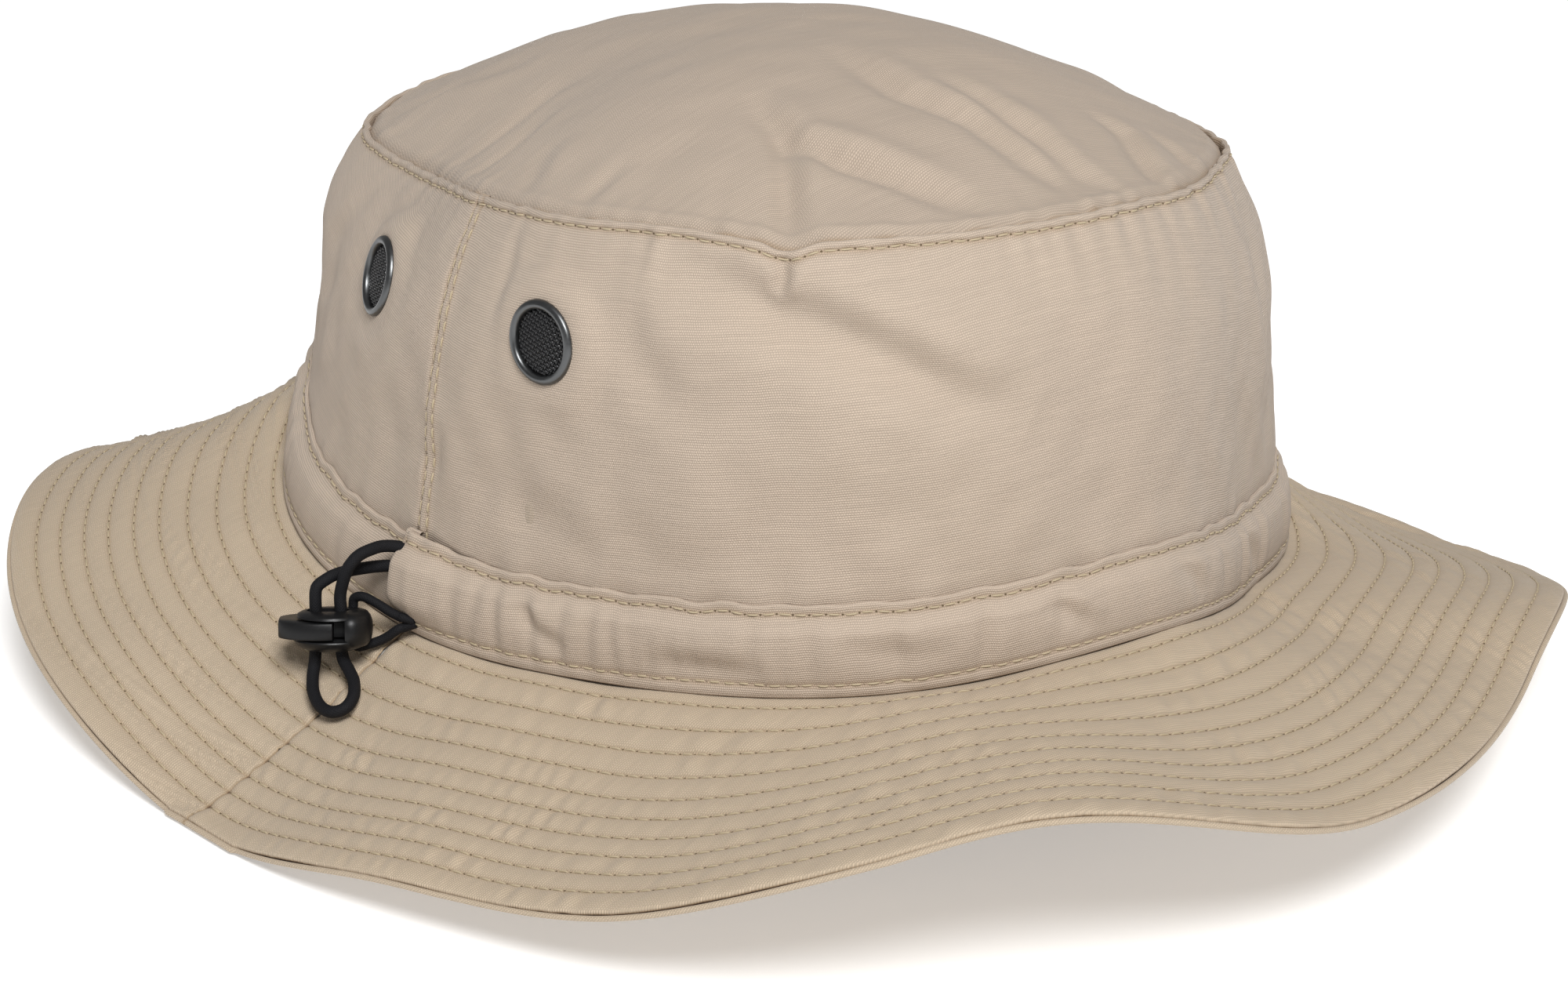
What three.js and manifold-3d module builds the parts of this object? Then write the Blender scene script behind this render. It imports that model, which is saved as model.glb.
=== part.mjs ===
// A boonie hat in cotton poplin: a domed crown, a drawcord band, a stitched brim of three layers,
// four mesh eyelets and a spring cord lock on a black elastic drawcord.
// Millimetres, +Z up. The hat stands on its brim at z = 0. Its front faces -Y and the wearer's
// right side, with the cord lock, faces -X.
import * as THREE from "three";
import { mergeVertices } from "three/addons/utils/BufferGeometryUtils.js";
import Module from "manifold-3d";

const wasm = await Module();
wasm.setup();

// ---------------------------------------------------------------- driving dimensions

// Rings of the hat, measured from the head's axis at equal steps round it. Each list starts at the
// front and turns towards the wearer's left; a smooth closed curve runs through its values.
const HEAD_AXIS = [2.1, 6.8]; // where the head's axis stands in the frame
const BASE_RADIUS = [103, 94, 99.5, 93, 95, 101, 103, 99, 98, 90, 90.5, 103];
const BASE_HEIGHT = [39.5, 28, 23.5, 41, 42, 38, 39, 44, 31.5, 25.5, 29, 36.5];
const TOP_RADIUS = [85.5, 81, 79.5, 70, 73, 84, 95, 91.5, 71, 73, 83, 91];
const TOP_HEIGHT = [113.5, 109, 103.5, 102, 99, 95, 94.5, 94.5, 98.5, 106, 112.5, 115];
const BRIM_EDGE_HEIGHT = [24, 21, 23.5, 2, 1.2, 12, 14, 4, 1.2, 9, 23, 14.5, 1.2, 9.5, 15, 40.5];

const BRIM_WIDTH = 56; // base seam to edge, along the cloth
const BRIM_SAG = 0.35; // how much steeper the brim leaves the crown than it arrives at its edge
const WALL_SWELL = 5; // how far the crown wall bows out between its two seams
const DOME_RISE = 23.5; // top panel above its seam
const BAND_TOP = 0.2; // the band covers this share of the wall
const CLOTH = 0.7; // crown and band cloth
const BRIM_CLOTH = 0.6;
const INTERLINING = 0.7;
const SEWN_GAP = 0.3; // space left between cloth layers
const SEAM_CLEARANCE = 0.35;
const SIDE_SEAM = 90; // degrees from the front to each side seam
const SEAM_HALF_GAP = 0.12; // degrees between a panel's end and its side seam
const STEP_DEPTH = 2.4; // how far the wall steps inwards behind the band
const BAND_SWELL = 1.4; // how far the band bulges over the drawcord
const FLAP_LIFT = 2.9; // the front band's loose end, over the two strands
const END_PRESS = 1.3; // the back band's end, pressed flat under them
const TAPE_HALF_WIDTH = 2.6; // degrees, of the tape inside a side seam

const CORD_RADIUS = 1.15;
const TETHER_RADIUS = 0.9;
const EYELET_TURN = 21.4; // degrees from a side seam to the eyelet on either side of it
const EYELET_RISE = 0.745; // share of the wall's height
const EYELET_UPRIGHT = 0.6; // how far an eyelet stands more upright than the wall behind it
const EYELET_HOLE = 6.75;
const EYELET_BORE = 5.9;
const EYELET_RIM = 7.65; // outer radius of the ring

const LOCK_MIDDLE = [-104.5, 4.2, 27]; // from the head's axis
const LOCK_PRESS_AXIS = new THREE.Vector3(0.788, -0.615, 0.026).normalize();
const LOCK_CORD_AXIS = new THREE.Vector3(0.124, 0.2, 0.972).normalize();
const PRESS_TRAVEL = 1.4;
const STRAND_A = 2.7; // where the two strands pass, along the press axis
const STRAND_B = -1.9;

// ---------------------------------------------------------------- materials

const cloth = new THREE.MeshStandardMaterial({ color: 0xb9a68c, roughness: 0.85, metalness: 0 });
const innerCloth = new THREE.MeshStandardMaterial({ color: 0xa8977e, roughness: 0.9, metalness: 0 });
const stiffener = new THREE.MeshStandardMaterial({ color: 0xe6e2d8, roughness: 0.95, metalness: 0 });
const elastic = new THREE.MeshStandardMaterial({ color: 0x16171a, roughness: 0.8, metalness: 0 });
const plastic = new THREE.MeshStandardMaterial({ color: 0x1b1e20, roughness: 0.4, metalness: 0 });
const gunmetal = new THREE.MeshStandardMaterial({ color: 0x3c3e42, roughness: 0.3, metalness: 1 });
const blackMesh = new THREE.MeshStandardMaterial({ color: 0x101010, roughness: 0.7, metalness: 0 });
const steel = new THREE.MeshStandardMaterial({ color: 0xb8bcc0, roughness: 0.3, metalness: 1 });

// ---------------------------------------------------------------- the hat's surfaces

// A smooth closed curve through values given at equal steps round the hat.
function roundRing(values, degrees) {
  const count = values.length;
  const place = (((degrees % 360) + 360) % 360) / (360 / count);
  const index = Math.floor(place);
  const t = place - index;
  const [a, b, c, d] = [-1, 0, 1, 2].map((step) => values[(index + step + count) % count]);
  const slope = c - a;
  const bend = 2 * a - 5 * b + 4 * c - d;
  const twist = 3 * b - a - 3 * c + d;
  return b + 0.5 * (slope * t + bend * t ** 2 + twist * t ** 3);
}

function smooth(from, to, x) {
  const t = Math.min(Math.max((x - from) / (to - from), 0), 1);
  return t * t * (3 - 2 * t);
}

function onRing(radius, height, degrees) {
  const angle = THREE.MathUtils.degToRad(degrees);
  const x = HEAD_AXIS[0] + radius * Math.sin(angle);
  const y = HEAD_AXIS[1] - radius * Math.cos(angle);
  return new THREE.Vector3(x, y, height);
}

function basePoint(degrees) {
  return onRing(roundRing(BASE_RADIUS, degrees), roundRing(BASE_HEIGHT, degrees), degrees);
}

function topPoint(degrees) {
  return onRing(roundRing(TOP_RADIUS, degrees), roundRing(TOP_HEIGHT, degrees), degrees);
}

// The level direction that points away from the crown at the base seam.
function outwards(degrees) {
  const along = basePoint(degrees + 0.05).sub(basePoint(degrees - 0.05));
  return new THREE.Vector3(along.y, -along.x, 0).normalize();
}

// The outside of the crown, from the base seam (share 0) to the top seam (share 1), moved outwards.
function crown(degrees, share, offset = 0) {
  const swell = WALL_SWELL * Math.sin(Math.PI * share ** 2);
  return basePoint(degrees)
    .lerp(topPoint(degrees), share)
    .addScaledVector(outwards(degrees), swell + offset);
}

// The wall steps inwards behind the band, which leaves room for the drawcord.
const wallStep = (share) => -STEP_DEPTH * (1 - smooth(0.11, 0.24, share));

// How far the band stands off the crown's outside; it swells over the cord.
function bandStand(share) {
  const height = share / BAND_TOP;
  return height + BAND_SWELL * Math.sin(Math.PI * height);
}

// The front band's end lifts where the two strands come out from under it.
const flapEnd = (degrees) => Math.exp(-(((degrees + SIDE_SEAM) / 8) ** 2));
const frontBandStand = (degrees, share) =>
  bandStand(share) + FLAP_LIFT * flapEnd(degrees) * smooth(0, 0.45, share / BAND_TOP);

// The back band's end is pressed flat under them.
const pressed = (height) => smooth(0.45, 0.75, height) * (1 - smooth(0.8, 1, height));
const backBandStand = (degrees, share) =>
  bandStand(share) - END_PRESS * flapEnd(degrees - 360) * pressed(share / BAND_TOP);

const BRIM_THICKNESS = 2 * BRIM_CLOTH + INTERLINING + 2 * SEWN_GAP;

// The brim's upper face, from under the band (share below 0) to the edge (share 1), moved down.
function brim(degrees, share, drop = 0) {
  const base = basePoint(degrees);
  const inner = base.z - SEAM_CLEARANCE;
  const fall = inner - roundRing(BRIM_EDGE_HEIGHT, degrees);
  const run = Math.sqrt(BRIM_WIDTH ** 2 - fall ** 2);
  const out = Math.max(share, 0);
  const height = inner - fall * (out + BRIM_SAG * out * (1 - out));
  const point = base.addScaledVector(outwards(degrees), run * share);
  point.z = Math.max(height, BRIM_THICKNESS) - drop;
  return point;
}

// The top panel, from its middle (share 0) to its rim (share 1), moved down.
const domeMiddle = 0.5 * (roundRing(TOP_HEIGHT, 90) + roundRing(TOP_HEIGHT, -90));
function dome(degrees, share, drop = 0) {
  const rim = topPoint(degrees).addScaledVector(outwards(degrees), -CLOTH - SEAM_CLEARANCE);
  const middle = new THREE.Vector3(HEAD_AXIS[0], HEAD_AXIS[1], domeMiddle);
  const point = middle.lerp(rim, share);
  point.z += DOME_RISE * (1 - share ** 2) - 0.3 - drop;
  return point;
}

// ---------------------------------------------------------------- solids

const hat = new THREE.Group();

function add(name, geometry, material, parent = hat) {
  const mesh = new THREE.Mesh(geometry, material);
  mesh.name = name;
  parent.add(mesh);
  return mesh;
}

function volume(geometry) {
  const at = geometry.getAttribute("position");
  const index = geometry.index;
  const corner = [new THREE.Vector3(), new THREE.Vector3(), new THREE.Vector3()];
  let sum = 0;
  for (let i = 0; i < index.count; i += 3) {
    corner.forEach((c, k) => c.fromBufferAttribute(at, index.getX(i + k)));
    sum += corner[0].dot(corner[1].clone().cross(corner[2]));
  }
  return sum / 6;
}

// A sheet of cloth as a closed solid: a grid of outer and inner points, closed along its borders.
// A ring joins its last column to its first; a pole gathers its first row into one point.
function sheet(outer, inner, columns, rows, { ring = false, pole = false } = {}) {
  const positions = [];
  const index = [];
  const grid = [outer, inner].map((face) =>
    columns.map((column) => {
      let first;
      return rows.map((row, r) => {
        if (pole && r === 0 && column !== columns[0]) return null;
        const point = face(column, row);
        positions.push(point.x, point.y, point.z);
        first = positions.length / 3 - 1;
        return first;
      });
    }),
  );
  const vertex = (face, c, r) => grid[face][pole && r === 0 ? 0 : c % columns.length][r];
  const triangle = (a, b, c) => {
    if (a !== b && b !== c && c !== a) index.push(a, b, c);
  };
  const quad = (a, b, c, d) => {
    triangle(a, b, c);
    triangle(a, c, d);
  };
  const spans = ring ? columns.length : columns.length - 1;
  const last = rows.length - 1;
  for (let c = 0; c < spans; c++) {
    for (let r = 0; r < last; r++) {
      quad(vertex(0, c, r), vertex(0, c + 1, r), vertex(0, c + 1, r + 1), vertex(0, c, r + 1));
      quad(vertex(1, c, r), vertex(1, c, r + 1), vertex(1, c + 1, r + 1), vertex(1, c + 1, r));
    }
    quad(vertex(0, c + 1, last), vertex(1, c + 1, last), vertex(1, c, last), vertex(0, c, last));
    if (!pole) quad(vertex(0, c, 0), vertex(1, c, 0), vertex(1, c + 1, 0), vertex(0, c + 1, 0));
  }
  if (!ring) {
    for (let r = 0; r < last; r++) {
      quad(vertex(0, 0, r), vertex(0, 0, r + 1), vertex(1, 0, r + 1), vertex(1, 0, r));
      quad(vertex(0, spans, r), vertex(1, spans, r), vertex(1, spans, r + 1), vertex(0, spans, r + 1));
    }
  }
  const geometry = new THREE.BufferGeometry();
  geometry.setAttribute("position", new THREE.Float32BufferAttribute(positions, 3));
  geometry.setIndex(index);
  if (volume(geometry) < 0) geometry.setIndex(index.slice().reverse());
  return geometry;
}

function toSolid(geometry) {
  const bare = new THREE.BufferGeometry();
  bare.setAttribute("position", geometry.getAttribute("position").clone());
  bare.setIndex(geometry.index ? geometry.index.clone() : null);
  const merged = mergeVertices(bare, 1e-4);
  return new wasm.Manifold(
    new wasm.Mesh({
      numProp: 3,
      vertProperties: new Float32Array(merged.getAttribute("position").array),
      triVerts: new Uint32Array(merged.index.array),
    }),
  );
}

function fromSolid(solid) {
  const made = solid.getMesh();
  const geometry = new THREE.BufferGeometry();
  geometry.setAttribute("position", new THREE.Float32BufferAttribute(made.vertProperties, 3));
  geometry.setIndex(new THREE.Uint32BufferAttribute(made.triVerts, 1));
  return geometry;
}

// A round tube along a smooth curve through the given points.
function tube(points, radius, steps, sides = 8) {
  const section = new THREE.Shape();
  for (let k = 0; k < sides; k++) {
    const turn = (2 * Math.PI * k) / sides;
    const corner = [radius * Math.cos(turn), radius * Math.sin(turn)];
    if (k === 0) section.moveTo(...corner);
    else section.lineTo(...corner);
  }
  const extrudePath = new THREE.CatmullRomCurve3(points);
  return new THREE.ExtrudeGeometry(section, { steps, extrudePath, bevelEnabled: false });
}

function range(from, to, spans) {
  return Array.from({ length: spans + 1 }, (_, k) => from + ((to - from) * k) / spans);
}

const GRID = 7.5; // degrees between columns of the cloth grids
const allRound = range(-SIDE_SEAM, 360 - SIDE_SEAM - GRID, 360 / GRID - 1);
// Columns of a panel that runs from one side seam to the other, on the common grid.
function half(from, to, extra = []) {
  const inside = range(from, to, (to - from) / GRID).slice(1, -1);
  return [from + SEAM_HALF_GAP, ...inside, to - SEAM_HALF_GAP, ...extra].sort((a, b) => a - b);
}
const FRONT = [-SIDE_SEAM, SIDE_SEAM];
const BACK = [SIDE_SEAM, 360 - SIDE_SEAM];

// ---------------------------------------------------------------- crown

function crownTop() {
  const rows = [0, 0.25, 0.5, 0.75, 1];
  const geometry = sheet(
    (a, s) => dome(a, s),
    (a, s) => dome(a, s, CLOTH),
    allRound,
    rows,
    { ring: true, pole: true },
  );
  add("crown_top_panel", geometry, cloth);
}

// A place on the crown wall: X along the seam, Y away from the head, Z the rest.
function wallFrame(degrees, share) {
  const at = crown(degrees, share);
  const along = crown(degrees + 1, share).sub(crown(degrees - 1, share));
  const up = crown(degrees, share + 0.02).sub(crown(degrees, share - 0.02)).normalize();
  up.z += EYELET_UPRIGHT;
  const away = along.clone().cross(up).normalize();
  along.normalize();
  const third = along.clone().cross(away);
  return new THREE.Matrix4().makeBasis(along, away, third).setPosition(at);
}

const eyelets = [];
for (const [side, middle] of [["right", -SIDE_SEAM], ["left", SIDE_SEAM]]) {
  const towardsFront = side === "right" ? 1 : -1;
  for (const [end, turn] of [["front", towardsFront], ["back", -towardsFront]]) {
    const degrees = middle + turn * EYELET_TURN;
    eyelets.push({ name: side + "_" + end, degrees, frame: wallFrame(degrees, EYELET_RISE) });
  }
}

function crownWall(name, [from, to]) {
  const rows = [0, 0.11, 0.24, 0.42, 0.6, 0.8, 0.92, 1];
  const geometry = sheet(
    (a, s) => crown(a, s, wallStep(s)),
    (a, s) => crown(a, s, wallStep(s) - CLOTH),
    half(from, to),
    rows,
  );
  let wall = toSolid(geometry);
  for (const eyelet of eyelets) {
    const punch = new THREE.CylinderGeometry(EYELET_HOLE, EYELET_HOLE, 8, 24);
    wall = wall.subtract(toSolid(punch.applyMatrix4(eyelet.frame)));
  }
  add(name, fromSolid(wall), cloth);
}

// A band of cloth inside the crown wall, between two shares of its height.
function lining(name, columns, rows, thickness, material, ring) {
  const stand = (s) => wallStep(s) - CLOTH - SEAM_CLEARANCE;
  const geometry = sheet(
    (a, s) => crown(a, s, stand(s)),
    (a, s) => crown(a, s, stand(s) - thickness),
    columns,
    rows,
    { ring },
  );
  add(name, geometry, material);
}

function eyelet({ name, frame }) {
  const lathe = (profile) => {
    const points = profile.map(([radius, height]) => new THREE.Vector2(radius, height));
    points.push(points[0].clone());
    return new THREE.LatheGeometry(points, 20).applyMatrix4(frame);
  };
  const shank = EYELET_BORE + 0.45;
  const rim = [
    [EYELET_BORE, -3.6], [shank, -3.6], [shank, 0.5], [EYELET_RIM, 0.5],
    [EYELET_RIM, 1], [EYELET_RIM - 0.4, 1.5], [EYELET_RIM - 0.95, 1.7], [EYELET_BORE + 0.25, 1.4],
    [EYELET_BORE, 0.9],
  ];
  add("eyelet_ring_" + name, outwardFacing(lathe(rim)), gunmetal);
  const [near, far] = [shank + SEAM_CLEARANCE, EYELET_RIM];
  const washer = [[near, -3.5], [far, -3.5], [far, -3.05], [near, -3.05]];
  add("eyelet_washer_" + name, outwardFacing(lathe(washer)), gunmetal);
  const mesh = EYELET_BORE - SEAM_CLEARANCE;
  const disc = new THREE.CylinderGeometry(mesh, mesh, 0.4, 20).translate(0, -0.8, 0).applyMatrix4(frame);
  add("eyelet_mesh_" + name, disc, blackMesh);
}

function outwardFacing(geometry) {
  const bare = new THREE.BufferGeometry();
  bare.setAttribute("position", geometry.getAttribute("position")).setIndex(geometry.index);
  const merged = mergeVertices(bare, 1e-4);
  if (volume(merged) < 0) merged.setIndex(Array.from(merged.index.array).reverse());
  return merged;
}

// ---------------------------------------------------------------- band and brim

function band(name, columns, stand) {
  const rows = [0, 0.04, 0.08, 0.12, 0.16, BAND_TOP];
  const geometry = sheet(
    (a, s) => crown(a, s, stand(a, s)),
    (a, s) => crown(a, s, stand(a, s) - CLOTH),
    columns,
    rows,
  );
  add(name, geometry, cloth);
}

function brimLayer(name, columns, rows, top, thickness, material, ring = false) {
  const geometry = sheet(
    (a, v) => brim(a, v, top),
    (a, v) => brim(a, v, top + thickness),
    columns,
    rows,
    { ring },
  );
  add(name, geometry, material);
}

function brimLayers() {
  const underBand = -0.055;
  const inside = [0.03, 0.22, 0.45, 0.7, 0.96];
  const interliningTop = BRIM_CLOTH + SEWN_GAP;
  const underTop = interliningTop + INTERLINING + SEWN_GAP;
  for (const [end, sweep] of [["front", FRONT], ["back", BACK]]) {
    const columns = half(...sweep);
    brimLayer("brim_top_" + end, columns, [underBand, ...inside, 1], 0, BRIM_CLOTH, cloth);
    const underRows = [underBand, ...inside, 1.015];
    brimLayer("brim_under_" + end, columns, underRows, underTop, BRIM_CLOTH, innerCloth);
  }
  brimLayer("brim_interlining", allRound, inside, interliningTop, INTERLINING, stiffener, true);
}

// ---------------------------------------------------------------- drawcord

// The free stretch: out from under the flap, down through the lock, round its loop, up through the
// lock again and back under the flap, where it turns to the back half of the band.
const LOOP_ROUTE = [
  [-88.8, -2.5, 40.2], [-89.2, -0.6, 40.5], [-90.8, 1.5, 40.8], [-93.2, 2.5, 41.1], [-95.8, 2.6, 41],
  [-98, 2.7, 40.5], [-99.7, 2.7, 39.4], [-100.8, 3.1, 37.4], [-101.6, 3.8, 33.3], [-102, 3.1, 30],
  [-102.4, 2.4, 26.6], [-102.9, 1.7, 23.2], [-103, 0.8, 21.2], [-103.3, -1.4, 20.2], [-104.1, -4.3, 19.2],
  [-106, -7.1, 17.9], [-108.6, -8.3, 16.7], [-110.6, -6.8, 15.9], [-110.9, -3.4, 15.9],
  [-110, 0.2, 17], [-108.5, 2.8, 18.6], [-107.2, 4.2, 20.4], [-106.5, 4.7, 23.6], [-106.1, 5.3, 26.5],
  [-105.6, 6, 29.9], [-105.2, 6.6, 33.2], [-104.6, 6.7, 34.5], [-103.2, 6.4, 35.4],
  [-101, 6.3, 36], [-98, 6.5, 35.9], [-95.4, 5.8, 36], [-93.2, 4.7, 36.2], [-91.4, 3, 36.5],
  [-89.9, 1, 36.5], [-88.8, -2, 36.2], [-88.4, -4.4, 34.6], [-88.4, -5.2, 32.4], [-88.9, -4, 30.6],
];

const TETHER_ROUTE = [
  [-92, -3, 26.5], [-93.3, -2.6, 26.2], [-95.2, -1, 24.3], [-97.6, 1, 22.9], [-98.8, 2.7, 22.2],
  [-99.1, 3.6, 23.2], [-98.6, 4.3, 26.2], [-98.2, 4.9, 29.5], [-97.9, 4.8, 31],
  [-96.9, 3.4, 31.5], [-95.4, 1.4, 30.6], [-93.8, -0.6, 29.2], [-92.7, -2, 28.5], [-92.3, -2.8, 28.4],
];

const fromAxis = ([x, y, z]) => new THREE.Vector3(x + HEAD_AXIS[0], y + HEAD_AXIS[1], z);
const routePoints = (route) => route.map(fromAxis);

function drawcord() {
  add("drawcord_loop", tube(routePoints(LOOP_ROUTE), CORD_RADIUS, 64), elastic);
  // Inside the band the cord lies where the wall steps back, and rises to the opening at the flap.
  const run = (from, to, rise, share, spans) =>
    range(from, to, spans).map((degrees) => {
      const near = Math.exp(-(((degrees + SIDE_SEAM) / 6) ** 2));
      return crown(degrees, share + rise * near, -0.7 + 1.8 * near);
    });
  const front = run(-88.2, 88, 0.082, 0.1, 42);
  add("drawcord_front_run", tube(front, CORD_RADIUS, 48), elastic);
  const back = range(-91.5, -268, 42).map((degrees) => crown(degrees, 0.1 - 0.035 * flapEnd(degrees), -0.7));
  add("drawcord_back_run", tube(back, CORD_RADIUS, 48), elastic);
  add("lock_tether", tube(routePoints(TETHER_ROUTE), TETHER_RADIUS, 30), elastic);
}

// ---------------------------------------------------------------- cord lock

// The lock is built along its own axes: X the way the plunger is pressed, Z the way the cord runs.
const lock = new THREE.Group();
const lockDepth = LOCK_CORD_AXIS.clone().cross(LOCK_PRESS_AXIS).normalize();
const lockUp = LOCK_PRESS_AXIS.clone().cross(lockDepth);
lock.applyMatrix4(
  new THREE.Matrix4().makeBasis(LOCK_PRESS_AXIS, lockDepth, lockUp).setPosition(fromAxis(LOCK_MIDDLE)),
);
hat.add(lock);

const box = (x0, x1, y, z) => {
  const geometry = new THREE.BoxGeometry(x1 - x0, 2 * y, 2 * z);
  return toSolid(geometry.translate((x0 + x1) / 2, 0, 0));
};
const upright = (x, y, radius, height, sides = 20) => {
  const geometry = new THREE.CylinderGeometry(radius, radius, height, sides).rotateX(Math.PI / 2);
  return toSolid(geometry.translate(x, y, 0));
};

const LOCK_HALF_HEIGHT = 3.3;
const LOCK_SLOT = 2.4; // half the slot that the plunger slides in
const LOCK_FACE = 3.9; // where the slot meets the closed end
const TETHER_HOLE = [4.6, 3.75];

function lockBody() {
  const outline = new THREE.CylinderGeometry(1, 1, 2 * LOCK_HALF_HEIGHT, 28).rotateX(Math.PI / 2);
  const rounding = new THREE.SphereGeometry(1, 24, 14);
  let body = toSolid(outline.scale(7.6, 6, 1).translate(0.8, 0, 0));
  body = body.intersect(toSolid(rounding.scale(8.6, 7.2, 4.6).translate(0.4, 0, 0)));
  body = body.subtract(box(-12, LOCK_FACE, 10, LOCK_SLOT));
  // the pocket for the plunger's nose, and the seat of the spring behind it
  body = body.subtract(box(LOCK_FACE - 1, 6.6, 2.3, 1.7)).subtract(box(LOCK_FACE - 1, 7.5, 1.5, 1.5));
  // one long hole, round at its ends, for both strands
  const passage = 1.6;
  body = body.subtract(upright(STRAND_A, 0, passage, 20)).subtract(upright(STRAND_B, 0, passage, 20));
  body = body.subtract(box(STRAND_B, STRAND_A, passage, 10));
  body = body.subtract(upright(...TETHER_HOLE, 1.15, 20));
  add("lock_body", fromSolid(body), plastic, lock);
}

const CORD_PLAY = 0.2; // between the cord and the plunger's window
const PLUNGER_NOSE = 0.75; // the bar beyond the window

function lockPlunger() {
  const reach = LOCK_SLOT - SEWN_GAP;
  const windowFrom = STRAND_B - CORD_RADIUS - CORD_PLAY - PRESS_TRAVEL;
  const windowTo = STRAND_A + CORD_RADIUS + CORD_PLAY;
  let plunger = box(-8.5, 1.6, 4.6, reach);
  const corner = new THREE.CylinderGeometry(1, 1, 20, 36).rotateX(Math.PI / 2).scale(8.4, 5.2, 1);
  plunger = plunger.intersect(toSolid(corner.translate(-0.6, 0, 0)));
  plunger = plunger.add(box(1, windowTo + PLUNGER_NOSE, 2, 1.4));
  plunger = plunger.subtract(box(windowFrom, windowTo, 1.45, 10));
  add("lock_plunger", fromSolid(plunger), plastic, lock);
}

function lockSpring() {
  const from = STRAND_A + CORD_RADIUS + CORD_PLAY + PLUNGER_NOSE + SEAM_CLEARANCE;
  const to = 7.15;
  const turns = 2.5;
  const coilRadius = 1.05;
  const wireRadius = 0.16;
  const coil = range(0, 1, 30).map((t) => {
    const turn = 2 * Math.PI * turns * t;
    const [y, z] = [coilRadius * Math.cos(turn), coilRadius * Math.sin(turn)];
    return new THREE.Vector3(from + (to - from) * t, y, z);
  });
  add("lock_spring", tube(coil, wireRadius, 30, 6), steel, lock);
}

// ---------------------------------------------------------------- assembly

crownTop();
crownWall("crown_wall_front", FRONT);
crownWall("crown_wall_back", BACK);
lining("sweatband", allRound, [0.03, 0.11, 0.24, 0.38], 0.8, innerCloth, true);
lining("crown_seam_tape", allRound, [0.92, 0.97], 0.5, innerCloth, true);
for (const [side, middle] of [["right", -SIDE_SEAM], ["left", SIDE_SEAM]]) {
  const columns = [middle - TAPE_HALF_WIDTH, middle, middle + TAPE_HALF_WIDTH];
  lining("side_seam_tape_" + side, columns, [0.42, 0.6, 0.8, 0.9], 0.5, innerCloth, false);
}
eyelets.forEach(eyelet);
band("band_front", half(...FRONT, [-88.5, -87, -85.5]), frontBandStand);
const backColumns = half(...BACK).slice(0, -1);
band("band_back", [...backColumns, 265.5, 267, 268.6], backBandStand);
brimLayers();
drawcord();
lockBody();
lockPlunger();
lockSpring();

export default hat;
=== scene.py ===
"""A boonie hat in beige cotton poplin, standing on its brim: domed crown, drawcord band with a spring
cord lock, mesh eyelets and a wavy brim stitched in rows. Lengths are in millimetres until a mesh is made.
Angles go round the head's axis in degrees, from the front (-Y) towards the wearer's left (+X)."""

import itertools
import math

import bpy
import numpy as np
from mathutils import Matrix, Vector


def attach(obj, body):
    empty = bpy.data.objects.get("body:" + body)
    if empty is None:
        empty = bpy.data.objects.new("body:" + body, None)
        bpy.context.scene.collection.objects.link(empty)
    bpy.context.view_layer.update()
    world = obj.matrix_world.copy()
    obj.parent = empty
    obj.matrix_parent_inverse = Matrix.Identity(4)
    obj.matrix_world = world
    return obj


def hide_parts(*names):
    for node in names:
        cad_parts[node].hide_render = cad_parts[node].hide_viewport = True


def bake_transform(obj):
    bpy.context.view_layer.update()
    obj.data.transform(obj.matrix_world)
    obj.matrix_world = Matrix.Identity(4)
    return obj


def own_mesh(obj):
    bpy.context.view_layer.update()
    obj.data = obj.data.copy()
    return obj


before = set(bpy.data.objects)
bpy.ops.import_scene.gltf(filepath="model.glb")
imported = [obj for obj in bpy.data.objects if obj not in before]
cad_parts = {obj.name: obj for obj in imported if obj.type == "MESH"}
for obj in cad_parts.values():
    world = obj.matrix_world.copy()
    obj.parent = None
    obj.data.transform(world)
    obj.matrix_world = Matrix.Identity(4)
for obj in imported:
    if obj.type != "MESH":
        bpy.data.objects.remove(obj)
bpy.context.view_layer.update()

MM = 0.001

# ---------------------------------------------------------------- driving dimensions

HEAD_AXIS = np.array([2.1, 6.8])
# at equal steps round the hat, from the front: radii from the head's axis, and heights above the floor
BASE_RADIUS = [103, 94, 99.5, 93, 95, 101, 103, 99, 98, 90, 90.5, 103]
BASE_HEIGHT = [39.5, 28, 23.5, 41, 42, 38, 39, 44, 31.5, 25.5, 29, 36.5]
TOP_RADIUS = [85.5, 81, 79.5, 70, 73, 84, 95, 91.5, 71, 73, 83, 91]
TOP_HEIGHT = [113.5, 109, 103.5, 102, 99, 95, 94.5, 94.5, 98.5, 106, 112.5, 115]
BRIM_EDGE_HEIGHT = [24, 21, 23.5, 2, 1.2, 12, 14, 4, 1.2, 9, 23, 14.5, 1.2, 9.5, 15, 40.5]
BRIM_WIDTH = 56
BRIM_SAG = 0.35
BRIM_THICKNESS = 2.5
BRIM_ROWS = [0.05, 0.152, 0.252, 0.355, 0.455, 0.545, 0.635, 0.72, 0.805, 0.89]
EDGE_SEAM = 0.975  # share of the brim where the under layer's turned edge begins
WALL_SWELL = 5
DOME_RISE = 23.5
BAND_TOP = 0.2  # share of the wall that the band covers
BAND_SWELL = 1.4
STEP_DEPTH = 2.4  # how far the wall is drawn in behind the band
FLAP_LIFT = 2.9
END_PRESS = 1.3  # how far the back band's end is pressed in under the cords
TAPE_HALF_WIDTH = 2.6  # degrees
CLOTH = 0.7
SEAM_CLEARANCE = 0.35
SIDE_SEAM = 90
PER_DEGREE = 1.65  # millimetres of crown wall in a degree
WALL_HEIGHT = 78  # millimetres of crown wall, on average
BAND_HEIGHT = BAND_TOP * WALL_HEIGHT
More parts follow.
